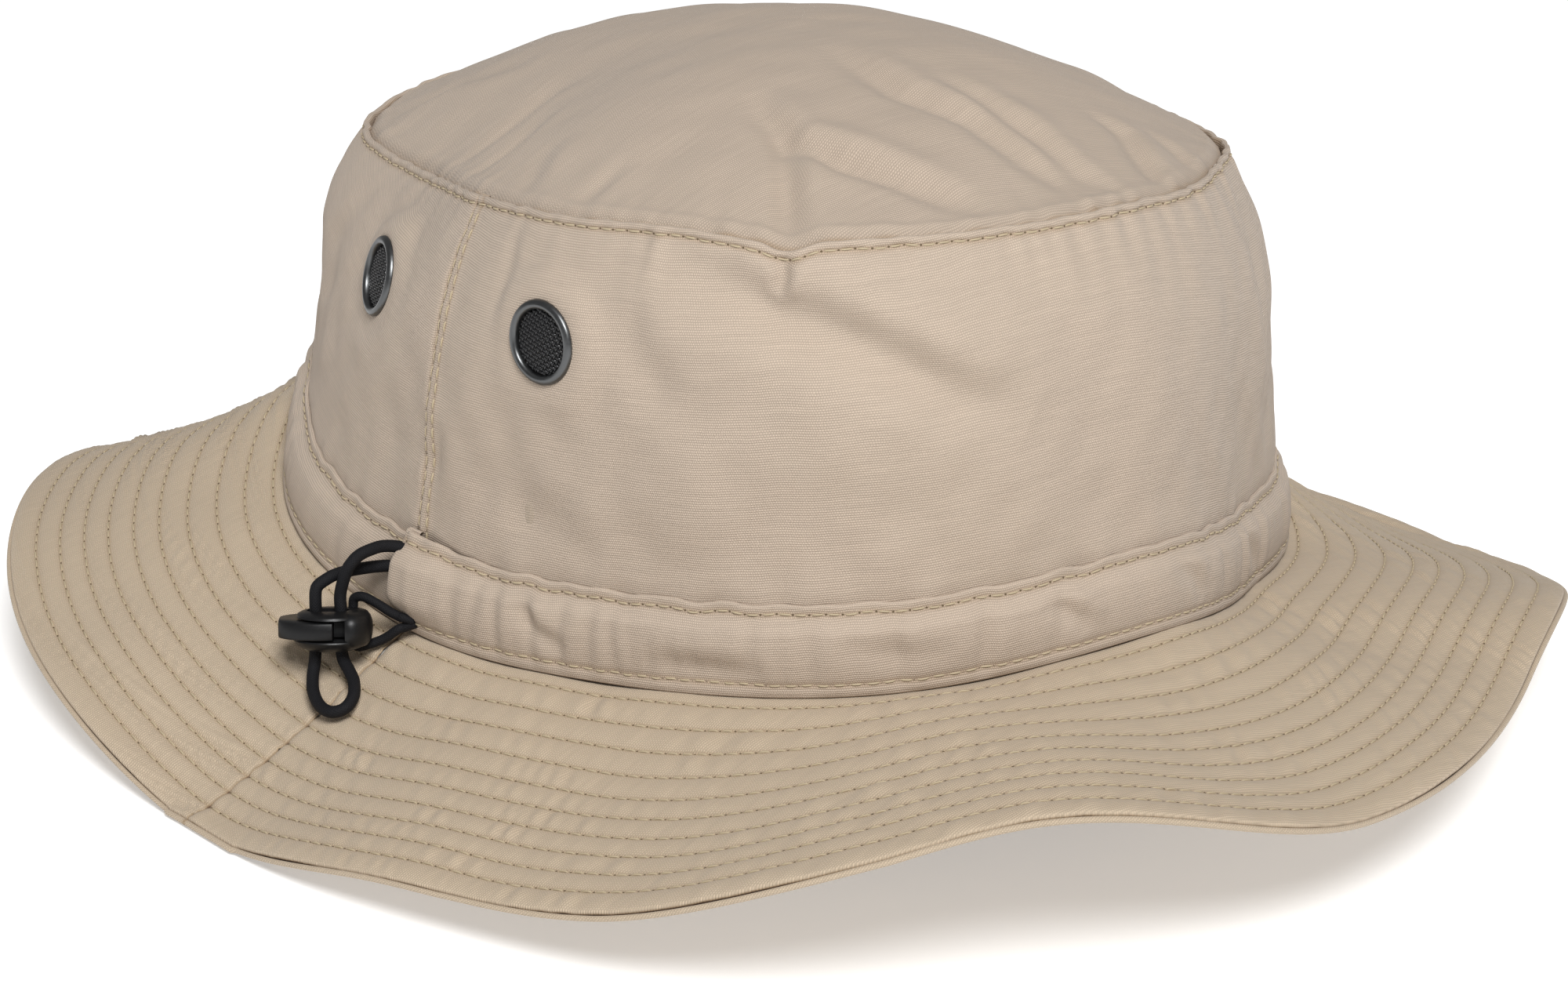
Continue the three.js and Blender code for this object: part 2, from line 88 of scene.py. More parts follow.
# millimetres from each seam or folded edge to its row of stitches
TOP_STITCH = 1.5
SIDE_STITCH = 2.6
BAND_BOTTOM_STITCH = 2.1
BAND_TOP_STITCH = 1.15
STITCH_GROOVE = 0.5  # half the width of the groove that a row of stitches draws in

CORD_RADIUS = 1.15
TETHER_RADIUS = 0.9
EYELET_TURN = 21.4  # degrees from the side seam
EYELET_RISE = 0.745  # share of the wall
EYELET_UPRIGHT = 0.6  # how far an eyelet stands more upright than the wall behind it

LOCK_MIDDLE = (-104.5, 4.2, 27)
LOCK_PRESS_AXIS = (0.788, -0.615, 0.026)
LOCK_CORD_AXIS = (0.124, 0.2, 0.972)
STRAND_A = 2.7  # where the cord's two strands pass the lock's middle, along the press
STRAND_B = -1.9

STITCH_PITCH = 2.9
THREAD_RADIUS = 0.17
DRAWN_IN = 0.45  # how deep the brim's stitches draw its cloth in
ON_FLOOR = 0.02  # the least height of the brim's cloth
SEAM_DARK = 2.2  # the groove shade of cloth that is folded away into a seam, painted darkest: painted seam shadow


# ---------------------------------------------------------------- camera

def add_camera():
    """The camera stands in front of the wearer's right side, a little above the crown."""
    right = Vector((0.7883, -0.6147, 0.0263)).normalized()
    back = Vector((-0.5729, -0.7178, 0.3957)).normalized()
    up = back.cross(right).normalized()
    right = up.cross(back)
    place = Vector((-465.2 + HEAD_AXIS[0], -581.3 + HEAD_AXIS[1], 349.7)) * MM
    data = bpy.data.cameras.new("camera")
    data.sensor_width = 36
    data.lens = 94.34
    data.clip_start = 0.05
    data.clip_end = 30
    camera = bpy.data.objects.new("camera", data)
    camera.matrix_world = Matrix.Translation(place) @ Matrix((right, up, back)).transposed().to_4x4()
    bpy.context.scene.collection.objects.link(camera)
    bpy.context.scene.camera = camera


add_camera()


# ---------------------------------------------------------------- mesh helpers

def make_mesh(name, vertices, faces, uv=None, groove_shade=None, body="hat", material=None):
    """An object from vertices in millimetres and a list of face arrays, each of one size of face. uv holds
    one pair a vertex, in metres of cloth; the shade value says how deep each vertex lies in a row of
    stitches or a seam, where its cloth is painted darker: painted shade."""
    mesh = bpy.data.meshes.new(name)
    vertices = np.asarray(vertices, float).reshape(-1, 3)
    mesh.vertices.add(len(vertices))
    mesh.vertices.foreach_set("co", (vertices * MM).astype(np.float32).ravel())
    loops = np.concatenate([f.ravel() for f in faces]).astype(np.int32)
    sizes = np.concatenate([np.full(len(f), f.shape[1]) for f in faces])
    starts = np.concatenate([[0], np.cumsum(sizes)[:-1]]).astype(np.int32)
    mesh.loops.add(len(loops))
    mesh.loops.foreach_set("vertex_index", loops)
    mesh.polygons.add(len(sizes))
    mesh.polygons.foreach_set("loop_start", starts)
    mesh.polygons.foreach_set("use_smooth", np.full(len(sizes), True))
    if uv is not None:
        layer = mesh.uv_layers.new(name="cloth")
        layer.data.foreach_set("uv", np.asarray(uv, np.float32).reshape(-1, 2)[loops].ravel())
    if groove_shade is not None:
        attribute = mesh.attributes.new("groove_shade", "FLOAT", "POINT")
        attribute.data.foreach_set("value", np.asarray(groove_shade, np.float32).ravel())
    mesh.update(calc_edges=True)
    mesh.validate()
    thing = bpy.data.objects.new(name, mesh)
    bpy.context.scene.collection.objects.link(thing)
    if material is not None:
        mesh.materials.append(material)
    if body is not None:
        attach(thing, body)
    return thing


def grid_faces(columns, rows, ring=False, flip=False):
    """The quads of a grid of vertices numbered along its rows first."""
    c, r = np.meshgrid(np.arange(columns if ring else columns - 1), np.arange(rows - 1), indexing="ij")
    near, far = c * rows + r, ((c + 1) % columns) * rows + r
    quads = np.stack([near, far, far + 1, near + 1], -1).reshape(-1, 4)
    return quads[:, ::-1] if flip else quads


def strip_faces(columns, rows, ring=False):
    """The quads of a flat tube: rows of vertices closed round each column."""
    c, r = np.meshgrid(np.arange(columns if ring else columns - 1), np.arange(rows), indexing="ij")
    near, far, up = c * rows, ((c + 1) % columns) * rows, (r + 1) % rows
    return np.stack([near + r, far + r, far + up, near + up], -1).reshape(-1, 4)


def circle(sides):
    """Equal angles round a circle."""
    return np.linspace(0, 2 * np.pi, sides, endpoint=False)


def tube_faces(count, sides, first=0):
    """The side quads and the two caps of a tube of count sections."""
    k, j = np.meshgrid(np.arange(count - 1), np.arange(sides), indexing="ij")
    a, b = k * sides + j, k * sides + (j + 1) % sides
    quads = np.stack([a, b, b + sides, a + sides], -1).reshape(-1, 4) + first
    caps = np.array([np.arange(sides)[::-1], np.arange(sides) + (count - 1) * sides]) + first
    return quads, caps


def tube_mesh(centres, radius, sides, first=0):
    """Vertices and faces of a capped round tube along a line of centres."""
    ahead = np.gradient(centres, axis=0)
    ahead /= np.linalg.norm(ahead, axis=1, keepdims=True)
    side = np.cross(ahead[0], [0.3, 0.5, 0.8])
    turn = circle(sides)[:, None]
    sections = []
    for centre, direction in zip(centres, ahead):
        side = side - direction * (side @ direction)
        side /= np.linalg.norm(side)
        other = np.cross(direction, side)
        sections.append(centre + radius * (np.cos(turn) * side + np.sin(turn) * other))
    return np.concatenate(sections), *tube_faces(len(centres), sides, first)


def spline(a, b, c, d, t):
    """A smooth curve from b to c, where a comes before them and d after."""
    bend = 2 * a - 5 * b + 4 * c - d
    return 0.5 * (2 * b + (c - a) * t + bend * t**2 + (3 * b - a - 3 * c + d) * t**3)


def smooth_path(points, per_span=8):
    """A smooth line through the given points."""
    p = np.asarray(points, float)
    p = np.vstack([2 * p[0] - p[1], p, 2 * p[-1] - p[-2]])
    t = np.linspace(0, 1, per_span, endpoint=False)[:, None]
    spans = [spline(a, b, c, d, t) for a, b, c, d in zip(p, p[1:], p[2:], p[3:])]
    return np.vstack([*spans, p[-2]])


def travelled(points):
    """How far each point lies along its row of points."""
    steps = np.linalg.norm(np.diff(points, axis=-2), axis=-1)
    return np.concatenate([np.zeros_like(steps[..., :1]), np.cumsum(steps, -1)], -1)


def cord_uv(centres, radius, sides):
    """Places along and round a cord. The far side mirrors the near one, so the braid has no seam."""
    around = np.abs(np.linspace(-1, 1, sides, endpoint=False)) * math.pi * radius
    return np.stack(np.meshgrid(travelled(centres), around, indexing="ij"), -1) * MM


# ---------------------------------------------------------------- material helpers

class Nodes:
    """Builds a material's node tree in short calls."""

    def __init__(self, name):
        self.material = bpy.data.materials.new(name)
        self.material.use_nodes = True
        self.tree = self.material.node_tree
        self.tree.nodes.clear()
        self.output = self.add("ShaderNodeOutputMaterial")
        self.shader = self.add("ShaderNodeBsdfPrincipled")
        self.feed(self.output, "Surface", self.shader.outputs["BSDF"])

    def add(self, kind, **settings):
        node = self.tree.nodes.new(kind)
        for key, value in settings.items():
            setattr(node, key, value)
        return node


    def feed(self, node, slot, value):
        """Gives a socket a link, a number or a colour of three parts."""
        if isinstance(value, bpy.types.NodeSocket):
            self.tree.links.new(value, node.inputs[slot])
        else:
            is_colour = isinstance(value, tuple) and len(value) == 3
            node.inputs[slot].default_value = (*value, 1) if is_colour else value

    def math(self, operation, *values, clamp=False):
        node = self.add("ShaderNodeMath", operation=operation, use_clamp=clamp)
        for slot, value in enumerate(values):
            self.feed(node, slot, value)
        return node.outputs[0]

    def scaled(self, value, factor, offset):
        return self.math("MULTIPLY_ADD", value, factor, offset)

    def product(self, a, b):
        return self.math("MULTIPLY", a, b)

    def uv(self):
        return self.add("ShaderNodeUVMap", uv_map="cloth").outputs[0]

    def place(self):
        return self.add("ShaderNodeTexCoord").outputs["Object"]

    def split(self, vector):
        node = self.add("ShaderNodeSeparateXYZ")
        self.feed(node, 0, vector)
        return node.outputs

    def join(self, x, y, z=0.0):
        node = self.add("ShaderNodeCombineXYZ")
        for slot, value in enumerate((x, y, z)):
            self.feed(node, slot, value)
        return node.outputs[0]

    def noise(self, vector, scale, detail=2.0):
        node = self.add("ShaderNodeTexNoise")
        self.feed(node, "Vector", vector)
        self.feed(node, "Scale", scale)
        self.feed(node, "Detail", detail)
        return node.outputs["Fac"]

    def mix(self, factor, a, b):
        node = self.add("ShaderNodeMix", data_type="RGBA")
        self.feed(node, 0, factor)
        self.feed(node, 6, a)
        self.feed(node, 7, b)
        return node.outputs[2]

    def shaded(self, colour, shade):
        """A colour times a shade, which may be above 1."""
        result = self.mix(shade, (0, 0, 0), colour)
        result.node.clamp_factor = False
        return result

    def raise_by(self, height, distance):
        """Gives the surface a fine relief of the given depth in metres."""
        node = self.add("ShaderNodeBump")
        self.feed(node, "Distance", distance)
        self.feed(node, "Height", height)
        self.feed(self.shader, "Normal", node.outputs[0])

    def set(self, **values):
        """Sets the shader's own sockets: Base_Color=..., Roughness=..."""
        for key, value in values.items():
            self.feed(self.shader, key.replace("_", " "), value)
        return self.material


STITCH_GROOVE_SHADE = (0.74, 0.66, 0.55)  # painted shade on cloth drawn in by a row of stitches
SEAM_GAP_SHADE = (0.24, 0.16, 0.11)  # painted shadow on cloth folded away into a seam


# Darkens a colour by a painted shade.
def shaded_by(colour, painted_shade):
    return tuple(c * t for c, t in zip(colour, painted_shade))


def weave_of(n, uv, rib=0.45, dot=0.42):
    """Ribs of yarn with staggered dots along them: the weave's height, and the number of the rib."""
    u, v, _ = n.split(uv)
    drift = n.product(n.math("SUBTRACT", n.noise(uv, 260), 0.5), 0.22 * MM)
    ribs = n.product(n.math("ADD", v, drift), 1 / (rib * MM))
    row = n.math("FLOOR", ribs)
    stagger = n.product(n.math("MODULO", row, 2.0), 0.5)
    slip = n.noise(n.join(n.product(u, 300.0), n.product(row, 0.37)), 1.0)
    stagger = n.math("ADD", stagger, n.product(slip, 1.6))
    dots = n.math("ADD", n.product(u, 1 / (dot * MM)), stagger)
    across = n.math("SINE", n.product(n.math("FRACT", ribs), math.pi))
    along = n.scaled(n.math("COSINE", n.product(dots, 2 * math.pi)), 0.5, 0.5)
    return n.product(across, n.scaled(along, 0.72, 0.28)), row


def woven(name, colour, contrast=0.5, **size):
    """Cotton poplin: fine ribs across the cloth, each broken into staggered dots by the crossing yarns."""
    n = Nodes(name)
    uv = n.uv()
    weave, row = weave_of(n, uv, **size)
    # each rib's yarn is a little lighter or darker than its neighbours, and thicker in places
    yarn = n.noise(n.join(n.product(n.split(uv)[0], 70.0), n.product(row, 0.73)), 1.0)
    patch = n.noise(n.place(), 14, 3)
    # The weave's relief is painted into the colour too: painted shade between the yarns and painted
    # highlight on their dots.
    shade = n.scaled(weave, contrast, 1 - 0.4 * contrast)
    shade = n.product(shade, n.scaled(yarn, 0.2, 0.9))
    shade = n.product(shade, n.scaled(patch, 0.08, 0.96))
    # Cloth in a stitched groove is painted darker, and cloth folded away into a seam darker still: painted
    # shade.
    groove_shade = n.add("ShaderNodeAttribute", attribute_name="groove_shade").outputs["Fac"]
    stitched = n.math("MULTIPLY", groove_shade, 0.7, clamp=True)
    seam = n.math("SUBTRACT", groove_shade, 1.2, clamp=True)
    cloth = n.mix(stitched, n.shaded(colour, shade), n.shaded(shaded_by(colour, STITCH_GROOVE_SHADE), shade))
    n.set(Base_Color=n.mix(seam, cloth, shaded_by(colour, SEAM_GAP_SHADE)))
    n.raise_by(n.math("ADD", weave, n.product(n.noise(uv, 5200), 0.35)), 0.1 * MM)
    return n.set(Roughness=0.78, Specular_IOR_Level=0.35, Sheen_Weight=0.12, Sheen_Roughness=0.5)


def plain(name, colour, roughness, metallic=0.0, grain=0.0, grain_scale=900, **extra):
    """A moulded or metal surface with a fine grain in its gloss and height."""
    n = Nodes(name)
    texture = n.noise(n.place(), grain_scale, 3)
    n.set(Base_Color=n.shaded(colour, n.scaled(texture, 0.2, 0.9)))
    n.set(Roughness=n.scaled(texture, 0.25, roughness - 0.125))
    if grain:
        n.raise_by(texture, grain * MM)
    return n.set(Metallic=metallic, **extra)


def braided(name, yarn=0.55):
    """Black braided cord: fine diagonal yarns, crossing both ways round the cord."""
    n = Nodes(name)
    u, v, _ = n.split(n.uv())
    diagonals = [n.math(way, u, v) for way in ("ADD", "SUBTRACT")]
    braid = n.math("MAXIMUM", *(n.math("SINE", n.product(d, 2 * math.pi / (yarn * MM))) for d in diagonals))
    # The braid's ridges are painted lighter than the gaps between its yarns: painted shade in the gaps.
    n.set(Base_Color=n.mix(n.scaled(braid, 0.3, 0.5), (0.002, 0.002, 0.003), (0.01, 0.01, 0.012)))
    n.raise_by(n.math("ADD", n.product(braid, 0.5), n.noise(n.place(), 3500)), 0.06 * MM)
    return n.set(Roughness=0.7, Specular_IOR_Level=0.2)


CROWN_CLOTH = woven("crown_cloth", (0.475, 0.385, 0.305))
# The brim's cloth is a little yellower than the crown's: painted warm shade.
BRIM_CLOTH = woven("brim_cloth", (0.48, 0.385, 0.28), contrast=0.38)
LINING_CLOTH = woven("lining_cloth", (0.43, 0.35, 0.27), contrast=0.3)
INTERLINING = woven("interlining", (0.75, 0.73, 0.68), rib=1.2, dot=1.2, contrast=0.08)
THREAD = plain("thread", (0.46, 0.38, 0.255), 0.65, grain=0.03, grain_scale=4000)
# Dark discs where the thread dives into the cloth: painted shade in the needle's holes.
NEEDLE_HOLE_SHADE = plain("needle_hole_shade", (0.12, 0.085, 0.045), 0.9, grain=0.02, grain_scale=3000)
ELASTIC = braided("elastic_cord")
LOCK_BLACK = (0.007, 0.007, 0.0075)
LOCK_PLASTIC = plain("lock_plastic", LOCK_BLACK, 0.38, grain=0.01, grain_scale=2600, Specular_IOR_Level=0.3)
GUNMETAL = plain("gunmetal", (0.13, 0.133, 0.135), 0.36, metallic=1.0, grain=0.004, grain_scale=1500)
MESH_YARN = plain("mesh_yarn", (0.01, 0.01, 0.011), 0.25, grain=0.004, grain_scale=4000)
SPRING_STEEL = plain("spring_steel", (0.6, 0.6, 0.62), 0.25, metallic=1.0)


# ---------------------------------------------------------------- drawcord

LOOP_ROUTE = [
    (-88.8, -2.5, 40.2), (-89.2, -0.6, 40.5), (-90.8, 1.5, 40.8), (-93.2, 2.5, 41.1), (-95.8, 2.6, 41),
    (-98, 2.7, 40.5), (-99.7, 2.7, 39.4), (-100.8, 3.1, 37.4), (-101.6, 3.8, 33.3), (-102, 3.1, 30),
    (-102.4, 2.4, 26.6), (-102.9, 1.7, 23.2), (-103, 0.8, 21.2), (-103.3, -1.4, 20.2), (-104.1, -4.3, 19.2),
    (-106, -7.1, 17.9), (-108.6, -8.3, 16.7), (-110.6, -6.8, 15.9), (-110.9, -3.4, 15.9),
    (-110, 0.2, 17), (-108.5, 2.8, 18.6), (-107.2, 4.2, 20.4), (-106.5, 4.7, 23.6), (-106.1, 5.3, 26.5),
    (-105.6, 6, 29.9), (-105.2, 6.6, 33.2), (-104.6, 6.7, 34.5), (-103.2, 6.4, 35.4),
    (-101, 6.3, 36), (-98, 6.5, 35.9), (-95.4, 5.8, 36), (-93.2, 4.7, 36.2), (-91.4, 3, 36.5),
    (-89.9, 1, 36.5), (-88.8, -2, 36.2), (-88.4, -4.4, 34.6), (-88.4, -5.2, 32.4), (-88.9, -4, 30.6),
]
TETHER_ROUTE = [
    (-92, -3, 26.5), (-93.3, -2.6, 26.2), (-95.2, -1, 24.3), (-97.6, 1, 22.9), (-98.8, 2.7, 22.2),
    (-99.1, 3.6, 23.2), (-98.6, 4.3, 26.2), (-98.2, 4.9, 29.5), (-97.9, 4.8, 31),
    (-96.9, 3.4, 31.5), (-95.4, 1.4, 30.6), (-93.8, -0.6, 29.2), (-92.7, -2, 28.5), (-92.3, -2.8, 28.4),
]
TETHER_HIDDEN_START = (-90.6, -4.4, 27.4)  # both ends are sewn into the seam under the band
TETHER_HIDDEN_END = (-90.8, -4.4, 28)


def braided_tube(name, centres, radius, sides, node, body=None):
    vertices, *faces = tube_mesh(centres, radius, sides)
    uv = cord_uv(centres, radius, sides)
    cord = make_mesh(name, vertices, faces, uv=uv, body=body, material=ELASTIC)
    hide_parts(node)
    return cord


def add_cords():
    centres = smooth_path(LOOP_ROUTE) + [*HEAD_AXIS, 0]
    loop = braided_tube("drawcord_loop_cord", centres, CORD_RADIUS, 20, "drawcord_loop")
    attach(loop, "hat")
    centres = smooth_path([TETHER_HIDDEN_START, *TETHER_ROUTE, TETHER_HIDDEN_END]) + [*HEAD_AXIS, 0]
    tether = braided_tube("lock_tether_cord", centres, TETHER_RADIUS, 16, "lock_tether")
    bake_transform(tether)



# ---------------------------------------------------------------- the hat's surfaces

def ring(values, degrees):
    """A smooth closed curve through values at equal steps round the hat."""
    v = np.asarray(values, float)
    place = np.mod(degrees, 360) / (360 / len(v))
    index = np.floor(place).astype(int)
    return spline(*(v[(index + k) % len(v)] for k in (-1, 0, 1, 2)), place - index)


def signed(degrees):
    """The same direction between -180 and 180 degrees."""
    return np.mod(degrees + 180, 360) - 180


def smooth(start, end, x):
    t = np.clip((x - start) / (end - start), 0, 1)
    return t * t * (3 - 2 * t)


def bell(x, width):
    return np.exp(-((x / width) ** 2))


def on_ring(radius, height, degrees):
    angle = np.radians(degrees)
    x, y = HEAD_AXIS[0] + radius * np.sin(angle), HEAD_AXIS[1] - radius * np.cos(angle)
    return np.stack([x, y, height + 0 * x], -1)


def base_point(degrees):
    return on_ring(ring(BASE_RADIUS, degrees), ring(BASE_HEIGHT, degrees), degrees)


def top_point(degrees):
    return on_ring(ring(TOP_RADIUS, degrees), ring(TOP_HEIGHT, degrees), degrees)


def outwards(degrees):
    along = base_point(degrees + 0.05) - base_point(degrees - 0.05)
    away = np.stack([along[..., 1], -along[..., 0], 0 * along[..., 0]], -1)
    return away / np.linalg.norm(away, axis=-1, keepdims=True)


UP = np.array([0.0, 0.0, 1.0])


def crown(degrees, share, offset=0.0):
    """The crown's outside from the base seam (share 0) to the top seam (share 1), moved outwards."""
    degrees, share = np.broadcast_arrays(np.asarray(degrees, float), np.asarray(share, float))
    k = share[..., None]
    swell = WALL_SWELL * np.sin(np.pi * share**2) + offset
    return base_point(degrees) * (1 - k) + top_point(degrees) * k + outwards(degrees) * swell[..., None]


def brim(degrees, share, drop=0.0):
    """The brim's upper face from under the band (share below 0) to the edge (share 1), moved down."""
    degrees, share = np.broadcast_arrays(np.asarray(degrees, float), np.asarray(share, float))
    base = base_point(degrees)
    inner = base[..., 2] - SEAM_CLEARANCE
    fall = inner - ring(BRIM_EDGE_HEIGHT, degrees)
    run = np.sqrt(BRIM_WIDTH**2 - fall**2)
    out = np.maximum(share, 0)
    height = inner - fall * (out + BRIM_SAG * out * (1 - out))
    point = base + outwards(degrees) * (run * share)[..., None]
    point[..., 2] = np.maximum(height, BRIM_THICKNESS) - drop
    return point


DOME_MIDDLE = 0.5 * (ring(TOP_HEIGHT, np.array(90.0)) + ring(TOP_HEIGHT, np.array(-90.0)))


def dome(degrees, share, drop=0.0):
    """The top panel from its middle (share 0) to its rim (share 1), moved down."""
    degrees, share = np.broadcast_arrays(np.asarray(degrees, float), np.asarray(share, float))
    rim = top_point(degrees) - (CLOTH + SEAM_CLEARANCE) * outwards(degrees)
    middle = np.array([*HEAD_AXIS, float(DOME_MIDDLE)])
    point = middle + (rim - middle) * share[..., None]
    point[..., 2] += DOME_RISE * (1 - share**2) - 0.3 - drop
    return point


def facing(surface, degrees, share):
    """The unit direction that faces away from a surface, up or outwards."""
    step_a, step_b = 0.2, 0.003
    along = surface(degrees + step_a, share) - surface(degrees - step_a, share)
    across = surface(degrees, share + step_b) - surface(degrees, share - step_b)
    away = np.cross(along, across)
    return away / np.linalg.norm(away, axis=-1, keepdims=True)


# ---------------------------------------------------------------- folds, gathers and puckers

def wave(x, shortest, longest, seed, count=6):
    """A smooth random wave along x, mostly between -1 and 1."""
    rng = np.random.default_rng(seed)
    total = 0
    for _ in range(count):
        total = total + np.sin(2 * np.pi * x / rng.uniform(shortest, longest) + rng.uniform(0, 2 * np.pi))
    return total / math.sqrt(count)


def swells(x, y, shortest, longest, seed, count=8):
    """Soft random rises and hollows over a flat pattern."""
    rng = np.random.default_rng(seed)
    total = 0
    for _ in range(count):
        turn = rng.uniform(0, np.pi)
        length = rng.uniform(shortest, longest)
        ahead = x * math.cos(turn) + y * math.sin(turn)
        total = total + np.sin(2 * np.pi * ahead / length + rng.uniform(0, 2 * np.pi))
    return total / math.sqrt(count)


FOLD_STRENGTH = 1.12


def crease(x, y, path, width, depth, shoulder=0.4):
    """A fold that runs along path: a hollow with a raised shoulder on its left, fading at both ends."""
    path = np.asarray(path, float)
    starts = travelled(path)
    lengths = np.diff(starts)
    nearest = np.full(np.shape(x), np.inf)
    side = np.zeros(np.shape(x))
    place = np.zeros(np.shape(x))
    for a, b, length, start in zip(path, path[1:], lengths, starts):
        ahead = (b - a) / length
        along = np.clip((x - a[0]) * ahead[0] + (y - a[1]) * ahead[1], 0, length)
        dx, dy = x - a[0] - along * ahead[0], y - a[1] - along * ahead[1]
        far = np.hypot(dx, dy)
        closer = far < nearest
        nearest = np.where(closer, far, nearest)
        side = np.where(closer, np.sign(ahead[0] * dy - ahead[1] * dx), side)
        place = np.where(closer, (start + along) / starts[-1], place)
    fade = np.sin(np.pi * np.clip(place, 0, 1)) ** 0.8
    away = nearest * side
    profile = shoulder * bell(away - 1.7 * width, width * 1.1) - bell(away, width)
    return FOLD_STRENGTH * depth * fade * profile


WALL_FOLDS = [  # degrees and share of the wall at each point, then width and depth
    ([(-55, 0.93), (-47, 0.895), (-39, 0.85), (-32, 0.78), (-24, 0.69), (-14, 0.6)], 5.0, 3.4),
    ([(-40, 1.0), (-39.6, 0.95), (-40.2, 0.9)], 1.5, 1.5),
    ([(-60, 0.93), (-59, 0.82), (-52, 0.68), (-42, 0.58)], 6.0, 1.0),
    ([(-97, 0.98), (-96, 0.85), (-94, 0.68)], 2.6, 1.5),
    ([(-103, 0.97), (-103.5, 0.85), (-102, 0.7)], 2.4, 0.9),
    ([(-78, 0.97), (-77, 0.88), (-78, 0.76)], 2.4, 0.7),
    ([(-115, 0.95), (-118, 0.85), (-119, 0.7)], 3.0, 0.6),
    ([(-86, 0.5), (-88, 0.4), (-90, 0.3)], 3.0, 0.6),
    ([(-75, 0.36), (-68, 0.33), (-60, 0.27)], 5.0, 0.8),
    ([(60, 0.93), (58, 0.8), (54, 0.65)], 4.0, 1.0),
    ([(40, 0.95), (38, 0.8), (36, 0.6)], 4.0, 0.7),
    ([(110, 0.9), (118, 0.7), (121, 0.5)], 5.0, 1.0),
    ([(150, 0.9), (146, 0.7), (150, 0.45)], 5.0, 0.9),
    ([(200, 0.92), (205, 0.75), (201, 0.5)], 5.0, 1.0),
    ([(232, 0.9), (228, 0.7), (231, 0.5)], 5.0, 0.9),
]
TOP_PUCKERS = [-56, -33, -27.5, -15, -12.3, -9.4, -5.5, -1.5, 2.5, 6.8, 11, 15.5, 21, 27, 34, 47, 66, 75]
TOP_PUCKERS += [-101, -108, -118, -126, 99, 112, 126, 141, 155, 168, 182, 197, 214]

DOME_FOLDS = [  # degrees and share of the top panel at each point, then width and depth
    ([(-50, 0.5), (-45, 0.6), (-40, 0.68), (-33, 0.735), (-25.5, 0.81), (-16.5, 0.96)], 3.0, 2.3),
    ([(-43, 0.64), (-40.6, 0.76), (-40, 0.86), (-39.5, 0.98)], 2.6, 1.7),
    ([(-24, 0.24), (-23, 0.31), (-16, 0.49), (-6, 0.66), (-4.2, 0.8), (0.2, 0.96)], 3.6, 2.2),
    ([(-2, 0.46), (1.2, 0.57), (2.8, 0.73), (3, 0.87), (5.2, 0.97)], 3.0, 1.8),
    ([(26, 0.72), (24.8, 0.8), (18.8, 0.89), (13.5, 0.98)], 2.6, 1.7),
    ([(33, 0.82), (31, 0.9), (26, 0.98)], 2.2, 0.8),
    ([(-124, 0.6), (-121.8, 0.66), (-115, 0.84), (-113, 0.97)], 3.0, 1.3),
    ([(-106, 0.7), (-101.8, 0.84), (-101.8, 0.97)], 2.6, 1.0),
    ([(-88, 0.8), (-86, 0.85), (-80, 0.97)], 2.4, 0.9),
    ([(-66, 0.8), (-67, 0.85), (-69.5, 0.96)], 2.4, 0.7),
    ([(60, 0.7), (66, 0.85), (69, 0.98)], 3.0, 0.9),
    ([(100, 0.65), (106, 0.83), (104, 0.98)], 3.4, 1.1),
    ([(140, 0.6), (137, 0.8), (141, 0.98)], 3.4, 1.1),
    ([(178, 0.65), (181, 0.82), (176, 0.98)], 3.4, 1.1),
    ([(215, 0.6), (211, 0.8), (216, 0.98)], 3.4, 1.0),
]
BAND_GATHERS = [-81, -78, -74.5, -69.5, -65, -61, -58, -55.5, -53, -50.5, -48, -45.5, -42.5, -36, -28]
BAND_GATHERS += [-19, -11, -6, -1, 6, 11, 16, 24, 33, 45, 58, 70, 82, 97, 108, 119, 132, 146, 158, 171]
BAND_GATHERS += [183, 196, 208, 221, 233, 245, 256]


def seam_line(degrees):
    """How much higher than the plain curve the top seam runs, with a pinch at the wearer's right front."""
    raised = 0.9 * smooth(-70, -50, degrees) * (1 - smooth(0, 20, degrees))
    return raised - 1.9 * bell(degrees + 39.5, 2.6) - 0.5 * bell(degrees + 43, 6)


def wall_step(share):
    return -STEP_DEPTH * (1 - smooth(0.11, 0.24, share))


def below_top_seam(degrees, share):
    """Millimetres of cloth between a place on the wall and the top seam."""
    height = np.linalg.norm(top_point(degrees) - base_point(degrees), axis=-1)
    return (1 - share) * height


def from_side_seam(degrees):
    """Millimetres of cloth to the nearest side seam, and whether the place is on the front half."""
    turned = np.abs(signed(degrees))
    return np.abs(turned - SIDE_SEAM) * PER_DEGREE, turned <= SIDE_SEAM


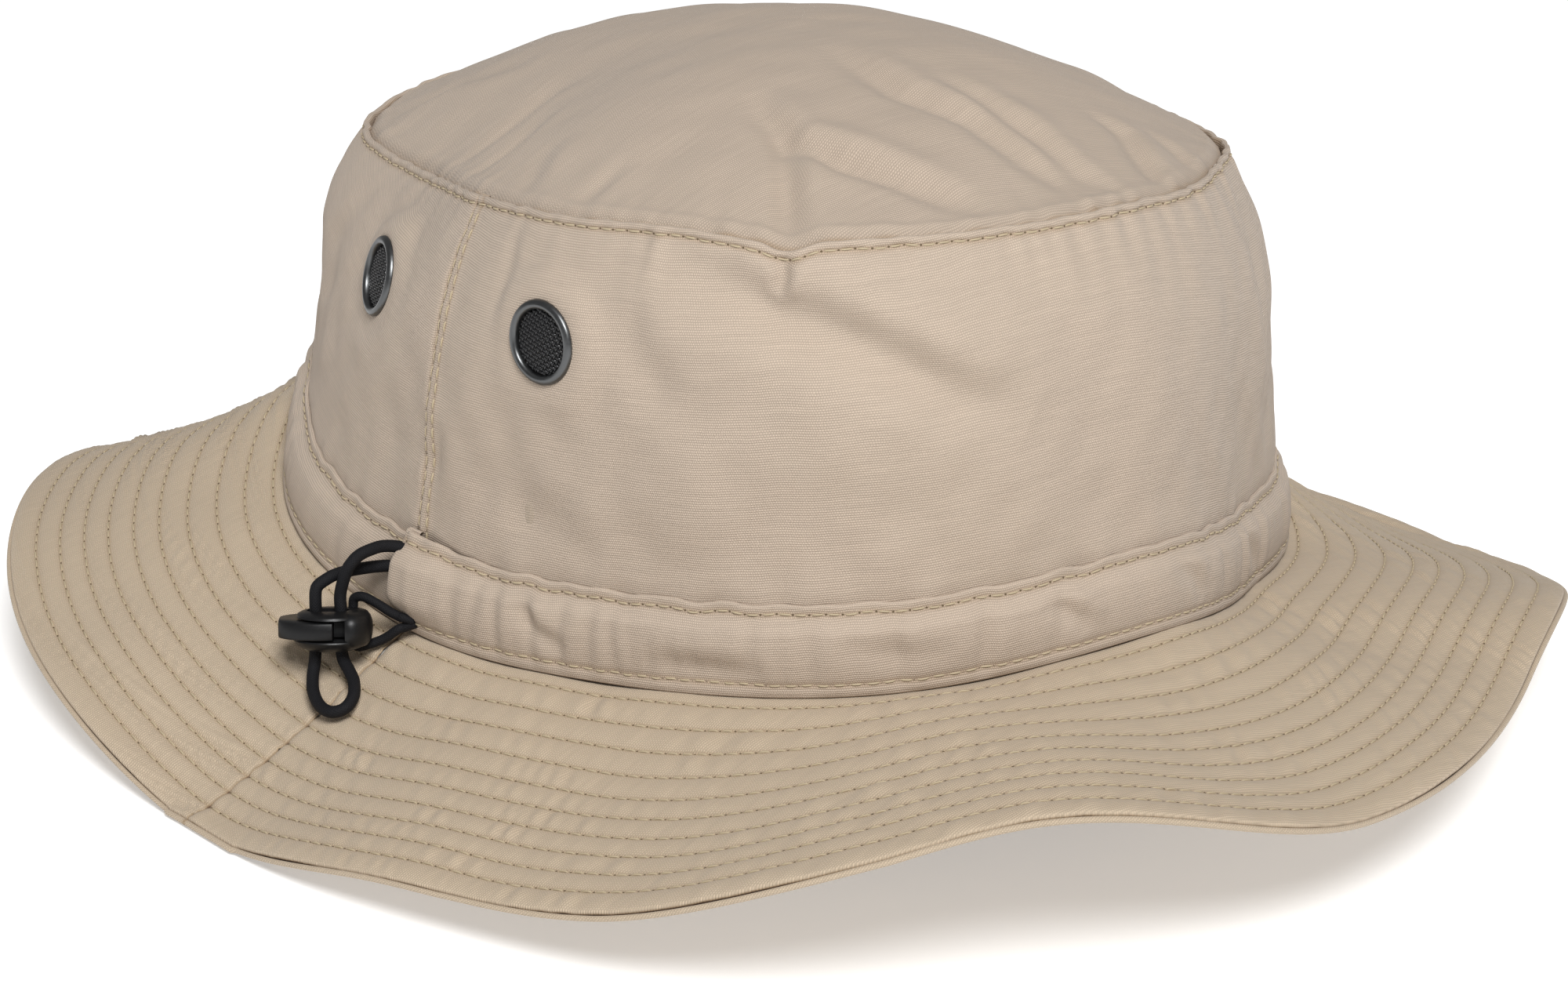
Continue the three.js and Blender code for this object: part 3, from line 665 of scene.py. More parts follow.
def wall_relief(degrees, share):
    u, h = degrees * PER_DEGREE, share * WALL_HEIGHT
    t = below_top_seam(degrees, share)
    d, front = from_side_seam(degrees)
    relief = 0.45 * swells(u, h, 22, 60, 11) * smooth(0.2, 0.4, share)
    relief += 0.16 * swells(u, h, 9, 20, 12)
    relief += wave(u, 4.5, 9, 13) * 0.17 * np.exp(-t / 4)
    relief += 0.3 * bell(t - 0.5, 0.7) - 0.35 * bell(t - TOP_STITCH, STITCH_GROOVE)
    near_seam = smooth(0.3, 2, t) * np.exp(-t / 9)
    for place in TOP_PUCKERS:
        x = u - place * PER_DEGREE - 0.12 * t * wave(place, 30, 60, 14)
        relief -= 0.55 * bell(x, 1.5 + 0.07 * t) * near_seam
        relief += 0.3 * bell(x - 2.6, 1.6 + 0.07 * t) * near_seam
    for path, width, depth in WALL_FOLDS:
        relief += crease(u, h, [(a * PER_DEGREE, s * WALL_HEIGHT) for a, s in path], width, depth)
    lapped = 0.5 * (1 - smooth(SIDE_STITCH, SIDE_STITCH + 1.4, d))
    lapped -= 0.34 * bell(d - SIDE_STITCH, STITCH_GROOVE)
    lapped -= 0.5 * (1 - smooth(0, 0.45, d)) + 0.14 * bell(d - 0.9, 0.3)
    tucked = -0.45 * (1 - smooth(0, 1.0, d))
    relief += np.where(front, lapped, tucked)
    relief += 0.13 * wave(h, 4, 9, 15) * np.exp(-np.abs(d - 1) / 3)
    above_band = (share - BAND_TOP) * WALL_HEIGHT
    relief += 0.12 * wave(u, 6, 13, 16) * np.exp(-np.abs(above_band) / 5)
    return relief


def eyelet_frame(degrees):
    """The place and directions of an eyelet: along the seam, away from the head, and the third."""
    at = crown(degrees, EYELET_RISE)
    along = crown(degrees + 1, EYELET_RISE) - crown(degrees - 1, EYELET_RISE)
    up = crown(degrees, EYELET_RISE + 0.02) - crown(degrees, EYELET_RISE - 0.02)
    up = up / np.linalg.norm(up) + [0, 0, EYELET_UPRIGHT]
    away = np.cross(along, up)
    away /= np.linalg.norm(away)
    along /= np.linalg.norm(along)
    return at, np.array([along, away, np.cross(along, away)])


EYELETS = {
    f"{side}_{end}": eyelet_frame(middle + turn * EYELET_TURN)
    for side, middle, turns in (("right", -SIDE_SEAM, (1, -1)), ("left", SIDE_SEAM, (-1, 1)))
    for end, turn in zip(("front", "back"), turns)
}


def wall_surface(degrees, share):
    """The crown wall as sewn, flat under the eyelets' flanges."""
    point = crown(degrees, share, wall_step(share) + wall_relief(degrees, share))
    point[..., 2] += seam_line(signed(degrees)) * smooth(0.6, 1, share)
    for at, axes in EYELETS.values():
        local = (point - at) @ axes.T
        reach = np.hypot(local[..., 0], local[..., 2])
        held = (1 - smooth(8.5, 15, reach)) * (np.abs(local[..., 1]) < 12)
        point = point - axes[1] * (held * (local[..., 1] - 0.25))[..., None]
    return point


def dome_surface(degrees, share):
    """The top panel as sewn, with its folds running to the seam."""
    point = dome(degrees, share)
    x, y = point[..., 0] - HEAD_AXIS[0], point[..., 1] - HEAD_AXIS[1]
    radius = ring(TOP_RADIUS, degrees)
    d = (1 - share) * radius
    rise = 0.5 * swells(x, y, 30, 75, 21) * smooth(0, 12, d)
    rise += 0.14 * swells(x, y, 10, 22, 22)
    rise += wave(degrees * 1.45, 4.5, 10, 23) * 0.22 * np.exp(-d / 5)
    rise += 0.35 * bell(d - 2.4, 1.1) - 0.5 * bell(d, 0.9)
    rise += seam_line(signed(degrees)) * np.exp(-d / 9)
    for path, width, depth in DOME_FOLDS:
        places, shares = np.array(path, float).T
        reach = shares * ring(TOP_RADIUS, places)
        line = np.stack([reach * np.sin(np.radians(places)), -reach * np.cos(np.radians(places))], -1)
        rise += crease(x, y, line, width, depth)
    point[..., 2] += rise
    return point


# ---------------------------------------------------------------- crown

GRID = 0.42  # degrees between columns of the crown's cloth


LIP_TURNS = np.radians([18, 36, 54, 72, 90, 108, 126, 144, 165])
EYELET_HOLE = 6.7
# at a side seam: how far in from the edge and how deep each further column of cloth lies. The front
# half's edge is folded under, and the back half's runs on beneath it.
FRONT_EDGE = [(-0.1, 0.35), (0.1, 0.7), (1.6, 0.75)]
BACK_EDGE = [(-0.4, 0.2), (-1.8, 0.5)]


def turned_lip(edge, away, lip, rise):
    """The top edge turned over into a narrow lip, which stands a little above the top panel."""
    rows = [edge + away * lip * (math.cos(k) - 1) + UP * (lip * math.sin(k) + rise) for k in LIP_TURNS]
    return np.stack([*rows, rows[-1] - UP * 0.8, rows[-1] - UP * 3.0], 1)


def without_eyelet_holes(faces, points):
    for at, axes in EYELETS.values():
        local = (points - at) @ axes.T
        hole = (np.hypot(local[:, 0], local[:, 2]) < EYELET_HOLE) & (np.abs(local[:, 1]) < 6)
        faces = faces[~hole[faces].any(1)]
    return faces


def add_wall(half, start, end, edge):
    columns = np.linspace(start, end, int((end - start) / GRID) + 1)
    count = len(columns)
    height = np.linalg.norm(top_point(columns) - base_point(columns), axis=-1)[:, None]
    side = signed(columns)[:, None]
    lip = 0.48 + 0.27 * (1 - smooth(-97, -84, side)) + 0.15 * smooth(20, 60, side)
    near_top = 3.6 + (lip - 3.6) * np.linspace(0, 1, 12)
    share = np.concatenate([np.linspace(0, 1, 104) * (1 - 4.0 / height), 1 - near_top / height], 1)
    degrees = np.broadcast_to(columns[:, None], share.shape)
    outside = wall_surface(degrees, share)
    away = outwards(columns)
    rise = wave(columns * PER_DEGREE, 6, 14, 31)[:, None] * 0.12
    over = turned_lip(outside[:, -1], away, lip, rise)
    points = np.concatenate([outside, over], 1)
    rows = points.shape[1]
    uv = np.stack(np.broadcast_arrays(columns[:, None] * PER_DEGREE, travelled(points)), -1) * MM
    t = np.concatenate([below_top_seam(degrees, share), np.full(over.shape[:2], 5.0)], 1)
    d, front = from_side_seam(np.broadcast_to(columns[:, None], (count, rows)))
    # Cloth in the stitch grooves, along the side seam and in the lip's turned-under rows is painted darker:
    # painted shade.
    groove_shade = bell(t - TOP_STITCH, STITCH_GROOVE) + front * bell(d - SIDE_STITCH, STITCH_GROOVE)
    groove_shade += 0.8 * bell(d, 0.35)
    groove_shade[:, -4:] = 1
    along = np.stack([-away[:, 1], away[:, 0], 0 * away[:, 0]], -1)
    first = [points[0] - away[0] * depth + along[0] * inward for inward, depth in reversed(edge)]
    last = [points[-1] - away[-1] * depth - along[-1] * inward for inward, depth in edge]
    points = np.concatenate([first, points, last]).reshape(-1, 3)
    repeat = np.pad(np.arange(count), len(edge), mode="edge")
    faces = without_eyelet_holes(grid_faces(len(repeat), rows), points)
    wall = make_mesh(
        f"crown_wall_{half}_cloth", points, [faces], uv=uv[repeat], groove_shade=groove_shade[repeat],
        material=CROWN_CLOTH,
    )
    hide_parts(f"crown_wall_{half}")


def add_top_panel():
    columns = np.linspace(0, 360, 620, endpoint=False)
    share = np.concatenate([np.linspace(0.004, 0.94, 84), np.linspace(0.945, 1.0, 14)])
    degrees, rows = np.meshgrid(columns, share, indexing="ij")
    points = dome_surface(degrees, rows)
    # the seam allowance turns down inside the wall's lip
    allowance = points[:, -1] + 0.35 * outwards(columns) - [0, 0, 0.7]
    points = np.concatenate([points, allowance[:, None], allowance[:, None] - [0, 0, 2.0]], 1)
    share = np.concatenate([share, [1.0, 1.0]])
    rows = np.broadcast_to(share, points.shape[:2])
    uv = (points[..., :2] - HEAD_AXIS) * MM
    faces = grid_faces(len(columns), len(share), ring=True, flip=True)
    # The cloth at the top seam and its turned-down allowance are painted darker: painted shade.
    groove_shade = smooth(0.99, 1.0, rows)
    middle = np.arange(len(columns)) * len(share)
    panel = make_mesh(
        "crown_top_cloth", points, [faces, middle[None]], uv=uv, groove_shade=groove_shade,
        material=CROWN_CLOTH,
    )
    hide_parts("crown_top_panel")


# ---------------------------------------------------------------- band

def flap_end(degrees):
    return bell(degrees + SIDE_SEAM, 8)


def band_stand(height):
    """How far the plain band stands out from the wall, from its bottom (0) to its top (1)."""
    return height + BAND_SWELL * np.sin(np.pi * np.clip(height, 0, 1))


def gathers(u, share):
    """Upright folds where the drawcord gathers the band."""
    height = np.clip(share / BAND_TOP, 0, 1)
    between = np.sin(np.pi * height) ** 0.7
    strength = 0.62 + 0.4 * wave(u, 60, 130, 41)
    total = 0
    for k, place in enumerate(BAND_GATHERS):
        lean = 2.0 * math.sin(1.7 * k)
        x = u - place * PER_DEGREE - lean * (height - 0.5)
        total = total - bell(x, 1.6) + 0.6 * bell(x - 3.0, 2.1)
    fine = 0.3 * wave(u + 1.5 * height, 3.5, 8, 42)
    return between * (0.75 * strength * total + 0.25 * fine)


BAND_HOLLOWS = [  # degrees and millimetres above the base seam at each point, then width and depth
    ([(-54, 5), (-48, 4.5), (-40, 4)], 2.6, 1.0),
    ([(-34, 9), (-28, 7), (-22, 6)], 2.6, 0.6),
    ([(-13, 12), (-9, 7), (-8, 4)], 2.0, 0.9),
    ([(4, 13), (8, 8), (10, 4)], 2.4, 0.8),
    ([(26, 12), (30, 6), (31, 3)], 2.4, 0.8),
    ([(-72, 12), (-68, 7), (-64, 4)], 2.0, 0.9),
]


def band_surface(degrees, share, back=False):
    """The band as gathered: its front half's end is lifted by the cords that come out from under it."""
    u = degrees * PER_DEGREE
    height = share / BAND_TOP
    if back:
        pressed = smooth(0.45, 0.75, height) * (1 - smooth(0.8, 1, height))
        offset = band_stand(height) - END_PRESS * flap_end(degrees - 360) * pressed
    else:
        offset = band_stand(height) + FLAP_LIFT * flap_end(degrees) * smooth(0, 0.45, height)
    up, down = height * BAND_HEIGHT, (1 - height) * BAND_HEIGHT
    offset = offset + gathers(u, share) + 0.25
    offset = offset + 0.35 * bell(up - 0.9, 1.0) - 0.3 * bell(up - BAND_BOTTOM_STITCH, STITCH_GROOVE)
    offset = offset + 0.3 * bell(down - 0.7, 0.8) - 0.3 * bell(down - BAND_TOP_STITCH, STITCH_GROOVE)
    offset = offset + 0.14 * wave(u, 4, 8, 43) * np.exp(-down / 2.5)
    for path, width, depth in BAND_HOLLOWS:
        offset = offset + crease(u, up, [(a * PER_DEGREE, h) for a, h in path], width, depth)
    # the top edge lies against the wall, except where the cords lift the flap
    against = wall_step(share) + wall_relief(degrees, share) + 0.75
    pull = 0.9 * smooth(0.72, 1, height)
    offset = offset * (1 - pull) + against * pull
    lifted = 0 if back else flap_end(degrees)
    offset = offset + 1.3 * lifted * smooth(0.7, 1, height)
    point = crown(degrees, share, offset)
    point[..., 2] += 0.3 * wave(u, 7, 17, 44) * smooth(0.7, 1, height)
    point[..., 2] += 2.0 * lifted * smooth(0.4, 1, height)
    point[..., 2] -= 0.38 * (1 - smooth(0, 0.3, height))
    return point


def folded_end(column, degrees, sign):
    """Columns that fold a band's end under and tuck it back along the band. sign is 1 at the last column."""
    away = outwards(np.array(degrees))
    ahead = np.array([-away[1], away[0], 0]) * sign
    turns = np.radians([40, 80, 120, 160])
    fold = [column + ahead * 0.5 * math.sin(k) - away * 0.45 * (1 - math.cos(k)) for k in turns]
    return [*fold, fold[-1] - ahead * 3]


def add_band(half, start, end):
    columns = np.linspace(start, end, int((end - start) / 0.36) + 1)
    share = np.linspace(0, BAND_TOP, 34)
    degrees, rows = np.meshgrid(columns, share, indexing="ij")
    outside = band_surface(degrees, rows, half == "back")
    away = outwards(columns)
    # both edges are folded under: round at the top, and flat and narrow at the bottom
    bottom, top = outside[:, 0], outside[:, -1]
    under = [bottom - away * 0.7]
    for turn in np.radians([90, 60, 30]):
        under.append(bottom - away * 0.35 * (1 - math.cos(turn)) - UP * 0.3 * math.sin(turn))
    over = []
    for turn in np.radians([25, 50, 75, 100, 125, 150, 180]):
        over.append(top + away * 0.55 * (math.cos(turn) - 1) + UP * 0.5 * math.sin(turn))
    over.append(over[-1] - UP * 2.0)
    points = np.concatenate([np.stack(under, 1), outside, np.stack(over, 1)], 1)
    # the ends are folded under too
    first = folded_end(points[0], start, -1)[::-1]
    last = folded_end(points[-1], end, 1)
    points = np.concatenate([first, points, last])
    count, total = points.shape[:2]
    middle_row = 20
    uv = np.stack(np.broadcast_arrays(travelled(points[:, middle_row])[:, None], travelled(points)), -1) * MM
    clear_of_stitches = 9.0
    up = np.pad(share * WALL_HEIGHT, (len(under), len(over)), constant_values=clear_of_stitches)
    # The stitch grooves are painted darker, and the folded-under bottom edge darkest: painted shadow in the
    # gap above the brim.
    groove_shade = bell(up - BAND_BOTTOM_STITCH, STITCH_GROOVE)
    groove_shade += bell(BAND_HEIGHT - up - BAND_TOP_STITCH, STITCH_GROOVE)
    groove_shade[:len(under)] = SEAM_DARK
    groove_shade = np.broadcast_to(groove_shade, (count, total))
    band = make_mesh(
        f"band_{half}_cloth", points, [grid_faces(count, total)], uv=uv, groove_shade=groove_shade,
        material=CROWN_CLOTH,
    )
    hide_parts(f"band_{half}")


# ---------------------------------------------------------------- brim

def quilting(degrees, share):
    """How far the cloth puffs up between the brim's rows of stitches."""
    lines = np.array([-0.08, *BRIM_ROWS, EDGE_SEAM + 0.006])  # under the band, to just past the edge
    index = np.clip(np.searchsorted(lines, share, side="right") - 1, 0, len(lines) - 2)
    low, high = lines[index], lines[index + 1]
    place = np.clip((share - low) / (high - low), 0, 1)
    puff = np.sin(np.pi * place) ** 0.8 * smooth(-0.01, 0.06, share)
    around = degrees * (PER_DEGREE + share * 0.9)
    tall = 0.52 + 0.14 * wave(around + 40 * index, 25, 60, 51)
    tall = tall + 0.2 * wave(around + 6 * share, 7, 18, 53) * smooth(-0.2, 1.2, wave(around, 50, 120, 54))
    # short creases cross each channel, drawn up by the stitches
    cross = 0.0
    for channel in range(len(lines) - 1):
        ripples = wave(around + 4 * place, 3.5, 9, 60 + channel)
        patches = smooth(-0.6, 1.0, wave(around, 30, 80, 80 + channel))
        cross = np.where(index == channel, 0.19 * ripples * (0.45 + patches), cross)
    return puff * (tall + cross)


# How far the brim's cloth lies in a row's stitch groove, where it is painted darker: painted shade.
def row_groove_shade(share):
    total = 0
    for line in BRIM_ROWS:
        total = total + bell((share - line) * BRIM_WIDTH, 0.45)
    return total


def brim_relief(degrees, share):
    d, _ = from_side_seam(degrees)
    relief = quilting(degrees, share)
    around = degrees * 2.1
    relief = relief + 0.25 * swells(around, share * BRIM_WIDTH, 25, 60, 52)
    relief = relief - 0.35 * bell(d, 0.5) + 0.12 * bell(d - 1.3, 0.9)
    return relief


def facing_up(degrees, share):
    return -facing(brim, degrees, share)


def brim_surface(degrees, share):
    height = brim_relief(degrees, share) - DRAWN_IN
    return brim(degrees, share) + facing_up(degrees, share) * height[..., None]


def brim_underside(degrees, share):
    height = quilting(degrees + 7, share) - DRAWN_IN
    point = brim(degrees, share, BRIM_THICKNESS) - facing_up(degrees, share) * height[..., None]
    point[..., 2] = np.maximum(point[..., 2], ON_FLOOR)
    return point


def channel_rows(steps):
    """Rows of the brim's grid, which put a row of vertices on each line of stitches."""
    lines = [-0.055, *BRIM_ROWS, EDGE_SEAM]
    rows = [np.linspace(a, b, steps, endpoint=False) for a, b in zip(lines[:-1], lines[1:])]
    return np.append(np.concatenate(rows), EDGE_SEAM)


# the under layer's turned edge: the share of the way out past the seam, and millimetres down
EDGE_ROLL = [
    (-0.1, 2.1), (-0.1, 1.6), (0.0, 1.25), (0.22, 1.06), (0.45, 1.06), (0.62, 1.22),
    (0.7, 1.45), (0.68, 1.75), (0.58, 2.0), (0.4, 2.2),
]


def brim_layer(layer, half, points, uv, groove_shade):
    faces = grid_faces(*points.shape[:2], flip=True)
    piece = make_mesh(
        f"brim_{layer}_{half}_cloth", points, [faces], uv=uv, groove_shade=groove_shade,
        material=BRIM_CLOTH,
    )
    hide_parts(f"brim_{layer}_{half}")


def add_brim_top(half, columns, up, away, side_seam_shade):
    share = channel_rows(8)
    degrees, rows = np.meshgrid(columns, share, indexing="ij")
    top = brim_surface(degrees, rows)
    turns = np.radians([40, 80, 120])
    edge = [top[:, -1] + away * 0.3 * math.sin(k) - up * 0.7 * (1 - math.cos(k)) for k in turns]
    edge.append(edge[-1] - up * 0.5 - away * 0.4)
    points = np.concatenate([top, np.stack(edge, 1)], 1)
    # The rows' stitch grooves are painted darker, and the cloth turned down at the edge darkest: painted
    # shadow of the edge seam.
    groove_shade = np.concatenate([row_groove_shade(share), np.zeros(len(edge))]) + side_seam_shade
    groove_shade[:, -2:] = SEAM_DARK
    brim_layer("top", half, points, (points[..., :2] - HEAD_AXIS) * MM, groove_shade)


def add_brim_under(half, columns, up, away, side_seam_shade):
    """The under layer, which rolls a little way over the edge, to the seam."""
    outer = brim(columns, EDGE_SEAM + 0.004)
    reach = (1.0 - EDGE_SEAM) * BRIM_WIDTH
    roll = np.stack([outer + away * reach * outward - up * down for outward, down in EDGE_ROLL], 1)
    roll[..., 2] = np.maximum(roll[..., 2], ON_FLOOR)
    share = channel_rows(7)[-4::-1]
    degrees, rows = np.meshgrid(columns, share, indexing="ij")
    points = np.concatenate([roll, brim_underside(degrees, rows)], 1)
    uv = (points[..., :2] - HEAD_AXIS) * MM
    # the turned edge's cloth is cut across the grain, and measured along and round the roll
    along_edge = travelled(outer)[:, None]
    round_edge = travelled(roll[len(columns) // 2])
    rolled = len(EDGE_ROLL)
    uv[:, :rolled, 0] = (along_edge - round_edge) * MM * 0.7
    uv[:, :rolled, 1] = (along_edge + round_edge) * MM * 0.7
    # The rows' stitch grooves are painted darker, and the turned edge's first rows at the seam darkest:
    # painted seam shadow.
    groove_shade = np.concatenate([np.zeros(rolled), row_groove_shade(share)])
    groove_shade[:2] = SEAM_DARK
    brim_layer("under", half, points, uv, groove_shade + side_seam_shade)


def add_brim(half, start, stop):
    columns = np.linspace(start, stop, int((stop - start) / 0.29) + 1)
    up = facing_up(columns, 0.97)
    away = outwards(columns)
    # Cloth at the brim's side seams is painted darker: painted shade.
    side_seam_shade = 1.5 * bell(from_side_seam(columns)[0], 0.3)[:, None]
    add_brim_top(half, columns, up, away, side_seam_shade)
    add_brim_under(half, columns, up, away, side_seam_shade)


# ---------------------------------------------------------------- stitching

# one stitch, from where the thread comes up to where it goes down: the place along it, how high the
# thread's middle lies over the cloth, and how thick the thread is beside its usual radius
STITCH_PLACES = np.array([0.0, 0.1, 0.3, 0.7, 0.9, 1.0])
STITCH_HEIGHTS = np.array([-0.25, 0.04, 0.16, 0.16, 0.04, -0.25])
STITCH_SIZES = np.array([0.6, 1.0, 1.1, 1.1, 1.0, 0.6])
THREAD_SIDES = 6
HOLE_SIDES = 8


def interpolate(places, lengths, points):
    """The points at the given places along a line."""
    return np.stack([np.interp(places, lengths, points[:, k]) for k in range(3)], -1)


def unit(vectors):
    return vectors / np.linalg.norm(vectors, axis=-1, keepdims=True)


def round_about(centre, turn, one, other):
    """Points round each centre, at the given turns from one direction to the other."""
    c, s = np.cos(turn)[:, None], np.sin(turn)[:, None]
    return centre[..., None, :] + c * one[..., None, :] + s * other[..., None, :]


def stitch_row(points, normals, thread, rng):
    """The thread's sections along a row of stitches, and the outlines of the dark discs between them:
    painted shade in the needle's holes.
    """
    lengths = travelled(points)
    count = max(1, int(lengths[-1] / STITCH_PITCH))
    step = lengths[-1] / count
    starts = (np.arange(count) + 0.1) * step
    spans = step * (0.76 + 0.03 * rng.standard_normal(count))
    places = starts[:, None] + spans[:, None] * STITCH_PLACES
    at = interpolate(places, lengths, points)
    up = unit(interpolate(places, lengths, normals))
    ahead = unit(np.gradient(at, axis=1))
    across = np.cross(up, ahead)
    sway = 0.06 * rng.standard_normal((count, 1)) * np.sin(np.pi * STITCH_PLACES)
    at = at + up * STITCH_HEIGHTS[:, None] + across * sway[..., None]
    size = thread * STITCH_SIZES[:, None]
    sections = round_about(at, circle(THREAD_SIDES), size * across, size * up)
    holes = interpolate(starts - 0.12 * step, lengths, points) + 0.06 * up[:, 0]
    long_way, short_way = 1.35 * thread * ahead[:, 0], 1.1 * thread * across[:, 0]
    return sections, round_about(holes, circle(HOLE_SIDES), long_way, short_way)


def add_stitches(name, lines, thread=THREAD_RADIUS):
    """Rows of thread: each stitch arches over the cloth and dives into it at both ends.
    lines is a list of (points, normals) along the cloth."""
    rng = np.random.default_rng(7)
    rows = [stitch_row(points, normals, thread, rng) for points, normals in lines]
    sections = np.concatenate([row[0] for row in rows])
    outlines = np.concatenate([row[1] for row in rows])
    one_stitch = tube_faces(len(STITCH_PLACES), THREAD_SIDES)[0]
    firsts = np.arange(len(sections)) * len(STITCH_PLACES) * THREAD_SIDES
    quads = (firsts[:, None, None] + one_stitch).reshape(-1, 4)
    holes = np.arange(len(outlines) * HOLE_SIDES).reshape(-1, HOLE_SIDES) + sections[..., 0].size
    vertices = np.concatenate([sections.reshape(-1, 3), outlines.reshape(-1, 3)])
    thing = make_mesh(name, vertices, [quads, holes], material=THREAD)
    # The discs at the needle's holes are painted shade.
    thing.data.materials.append(NEEDLE_HOLE_SHADE)
    is_hole_shade = np.repeat([0, 1], [len(quads), len(holes)]).astype(np.int32)
    thing.data.polygons.foreach_set("material_index", is_hole_shade)


def line_on(surface, start, stop, share, flip=False, step=0.25):
    """A line round the hat on a surface, at one share or at a share for each direction."""
    degrees = np.arange(start, stop, step)
    rows = np.broadcast_to(share(degrees) if callable(share) else share, degrees.shape)
    return surface(degrees, rows), facing(surface, degrees, rows) * (-1 if flip else 1)


def side_lines(inset):
    """Lines up both side seams, this many degrees in from them on the front half."""
    share = np.linspace(BAND_TOP, 0.97, 160)
    across = [np.full(share.shape, a) for a in (-SIDE_SEAM + inset, SIDE_SEAM - inset)]
    return [(wall_surface(a, share), facing(wall_surface, a, share)) for a in across]


def beside_top_seam(degrees):
    """The share of the wall where the top seam's row of stitches runs."""
    return 1 - TOP_STITCH / np.linalg.norm(top_point(degrees) - base_point(degrees), axis=-1)


def add_all_stitches():
    halves = (("front", -89.7, 89.7), ("back", 90.3, 269.7))
    lines = [line_on(wall_surface, start, stop, beside_top_seam) for _, start, stop in halves]
    add_stitches("top_seam_stitches", lines)
    add_stitches("side_seam_stitches", side_lines(SIDE_STITCH / PER_DEGREE))
    add_stitches("side_ridge_stitches", side_lines(0.4), thread=0.1)
    lines = []
    for share in (BAND_BOTTOM_STITCH / WALL_HEIGHT, BAND_TOP - BAND_TOP_STITCH / WALL_HEIGHT):
        lines.append(line_on(band_surface, -89.8, 89.8, share))
        lines.append(line_on(lambda a, s: band_surface(a, s, back=True), 90.3, 268.2, share))
    add_stitches("band_stitches", lines)
    for half, start, stop in halves:
        above = [line_on(brim_surface, start, stop, row, flip=True, step=0.4) for row in BRIM_ROWS]
        below = [line_on(brim_underside, start, stop, row, step=0.4) for row in BRIM_ROWS]
        add_stitches(f"brim_row_stitches_{half}", above)
        add_stitches(f"brim_under_stitches_{half}", below)


# ---------------------------------------------------------------- eyelets

def lathe(profile, at, axes, sides=72):
    """A closed ring turned from (radius, height) points about an eyelet's axis."""
    turn = circle(sides)[:, None]
    radius, height = profile.T
    local = np.stack(np.broadcast_arrays(radius * np.cos(turn), height, radius * np.sin(turn)), -1)
    return local @ axes + at, strip_faces(sides, len(profile), ring=True)[:, ::-1]


def rounded(points, per_span=5):
    """A closed profile smoothed through its points."""
    p = np.asarray(points, float)
    t = np.linspace(0, 1, per_span, endpoint=False)[:, None]
    return np.vstack([spline(*(p[(k + j) % len(p)] for j in (-1, 0, 1, 2)), t) for k in range(len(p))])


RING_PROFILE = [
    (5.85, -2.5), (6.2, -2.5), (6.3, -1), (6.35, 0.1), (7.0, 0.15), (7.55, 0.2), (7.65, 0.45), (7.4, 0.95),
    (6.8, 1.25), (6.3, 1.15), (6.0, 0.8), (5.9, 0.2), (5.85, -1),
]
WASHER_PROFILE = [(6.7, -2.6), (7.9, -2.55), (8.0, -2.3), (7.8, -2.1), (6.8, -2.05), (6.6, -2.3)]
MESH_RADIUS = 5.8
MESH_PITCH = 0.74
MESH_YARNS = 15  # each way
MESH_YARN_RADIUS = 0.28


def eyelet_mesh(at, axes, turned):
    """Yarns woven over and under each other, domed a little out of the ring."""
    vertices, quads, caps = [], [], []
    first = 0
    off_centre = 0.1
    places = (np.arange(MESH_YARNS) - MESH_YARNS // 2) * MESH_PITCH + off_centre
    c, s = math.cos(turned), math.sin(turned)
    for direction, (k, place) in itertools.product((0, 1), enumerate(places)):
        half = math.sqrt(MESH_RADIUS**2 - place**2)
        run = np.arange(-half, half + 0.1, 0.155)
        lift = 0.16 * np.cos(np.pi * (run - off_centre) / MESH_PITCH + np.pi * (k + direction))
        a, b = (run, place + 0 * run) if direction == 0 else (place + 0 * run, run)
        bulge = -0.1 + 0.6 * (1 - (a**2 + b**2) / MESH_RADIUS**2)
        local = np.stack([c * a - s * b, lift + bulge, s * a + c * b], -1)
        yarn, sides, ends = tube_mesh(local @ axes + at, MESH_YARN_RADIUS, 8, first)
        vertices.append(yarn)
        quads.append(sides)
        caps.append(ends)
        first += len(yarn)
    return np.concatenate(vertices), [np.concatenate(quads), np.concatenate(caps)]


def add_eyelets():
    for k, (name, (at, axes)) in enumerate(EYELETS.items()):
        for part, profile in (("ring", RING_PROFILE), ("washer", WASHER_PROFILE)):
            points, faces = lathe(rounded(profile), at, axes)
            node = f"eyelet_{part}_{name}"
            piece = make_mesh(f"{node}_metal", points, [faces], material=GUNMETAL)
            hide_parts(node)
        vertices, faces = eyelet_mesh(at, axes, 0.35 + 0.8 * k)
        node = f"eyelet_mesh_{name}"
        piece = make_mesh(f"{node}_woven", vertices, faces, material=MESH_YARN)
        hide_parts(node)


# ---------------------------------------------------------------- cord lock

LOCK_SIDES = 72
THROUGH = 9  # reaches past the lock on every side
CORD_WAY = 8  # reaches past it along the cord


def lock_axes():
    """The lock's directions: along the press, across it, and along the cord."""
    press = np.array(LOCK_PRESS_AXIS) / np.linalg.norm(LOCK_PRESS_AXIS)
    across = np.cross(LOCK_CORD_AXIS, press)
    across /= np.linalg.norm(across)
    return np.array([press, across, np.cross(press, across)])


LOCK_AT = np.array(LOCK_MIDDLE) + [*HEAD_AXIS, 0]
LOCK_AXES = lock_axes()


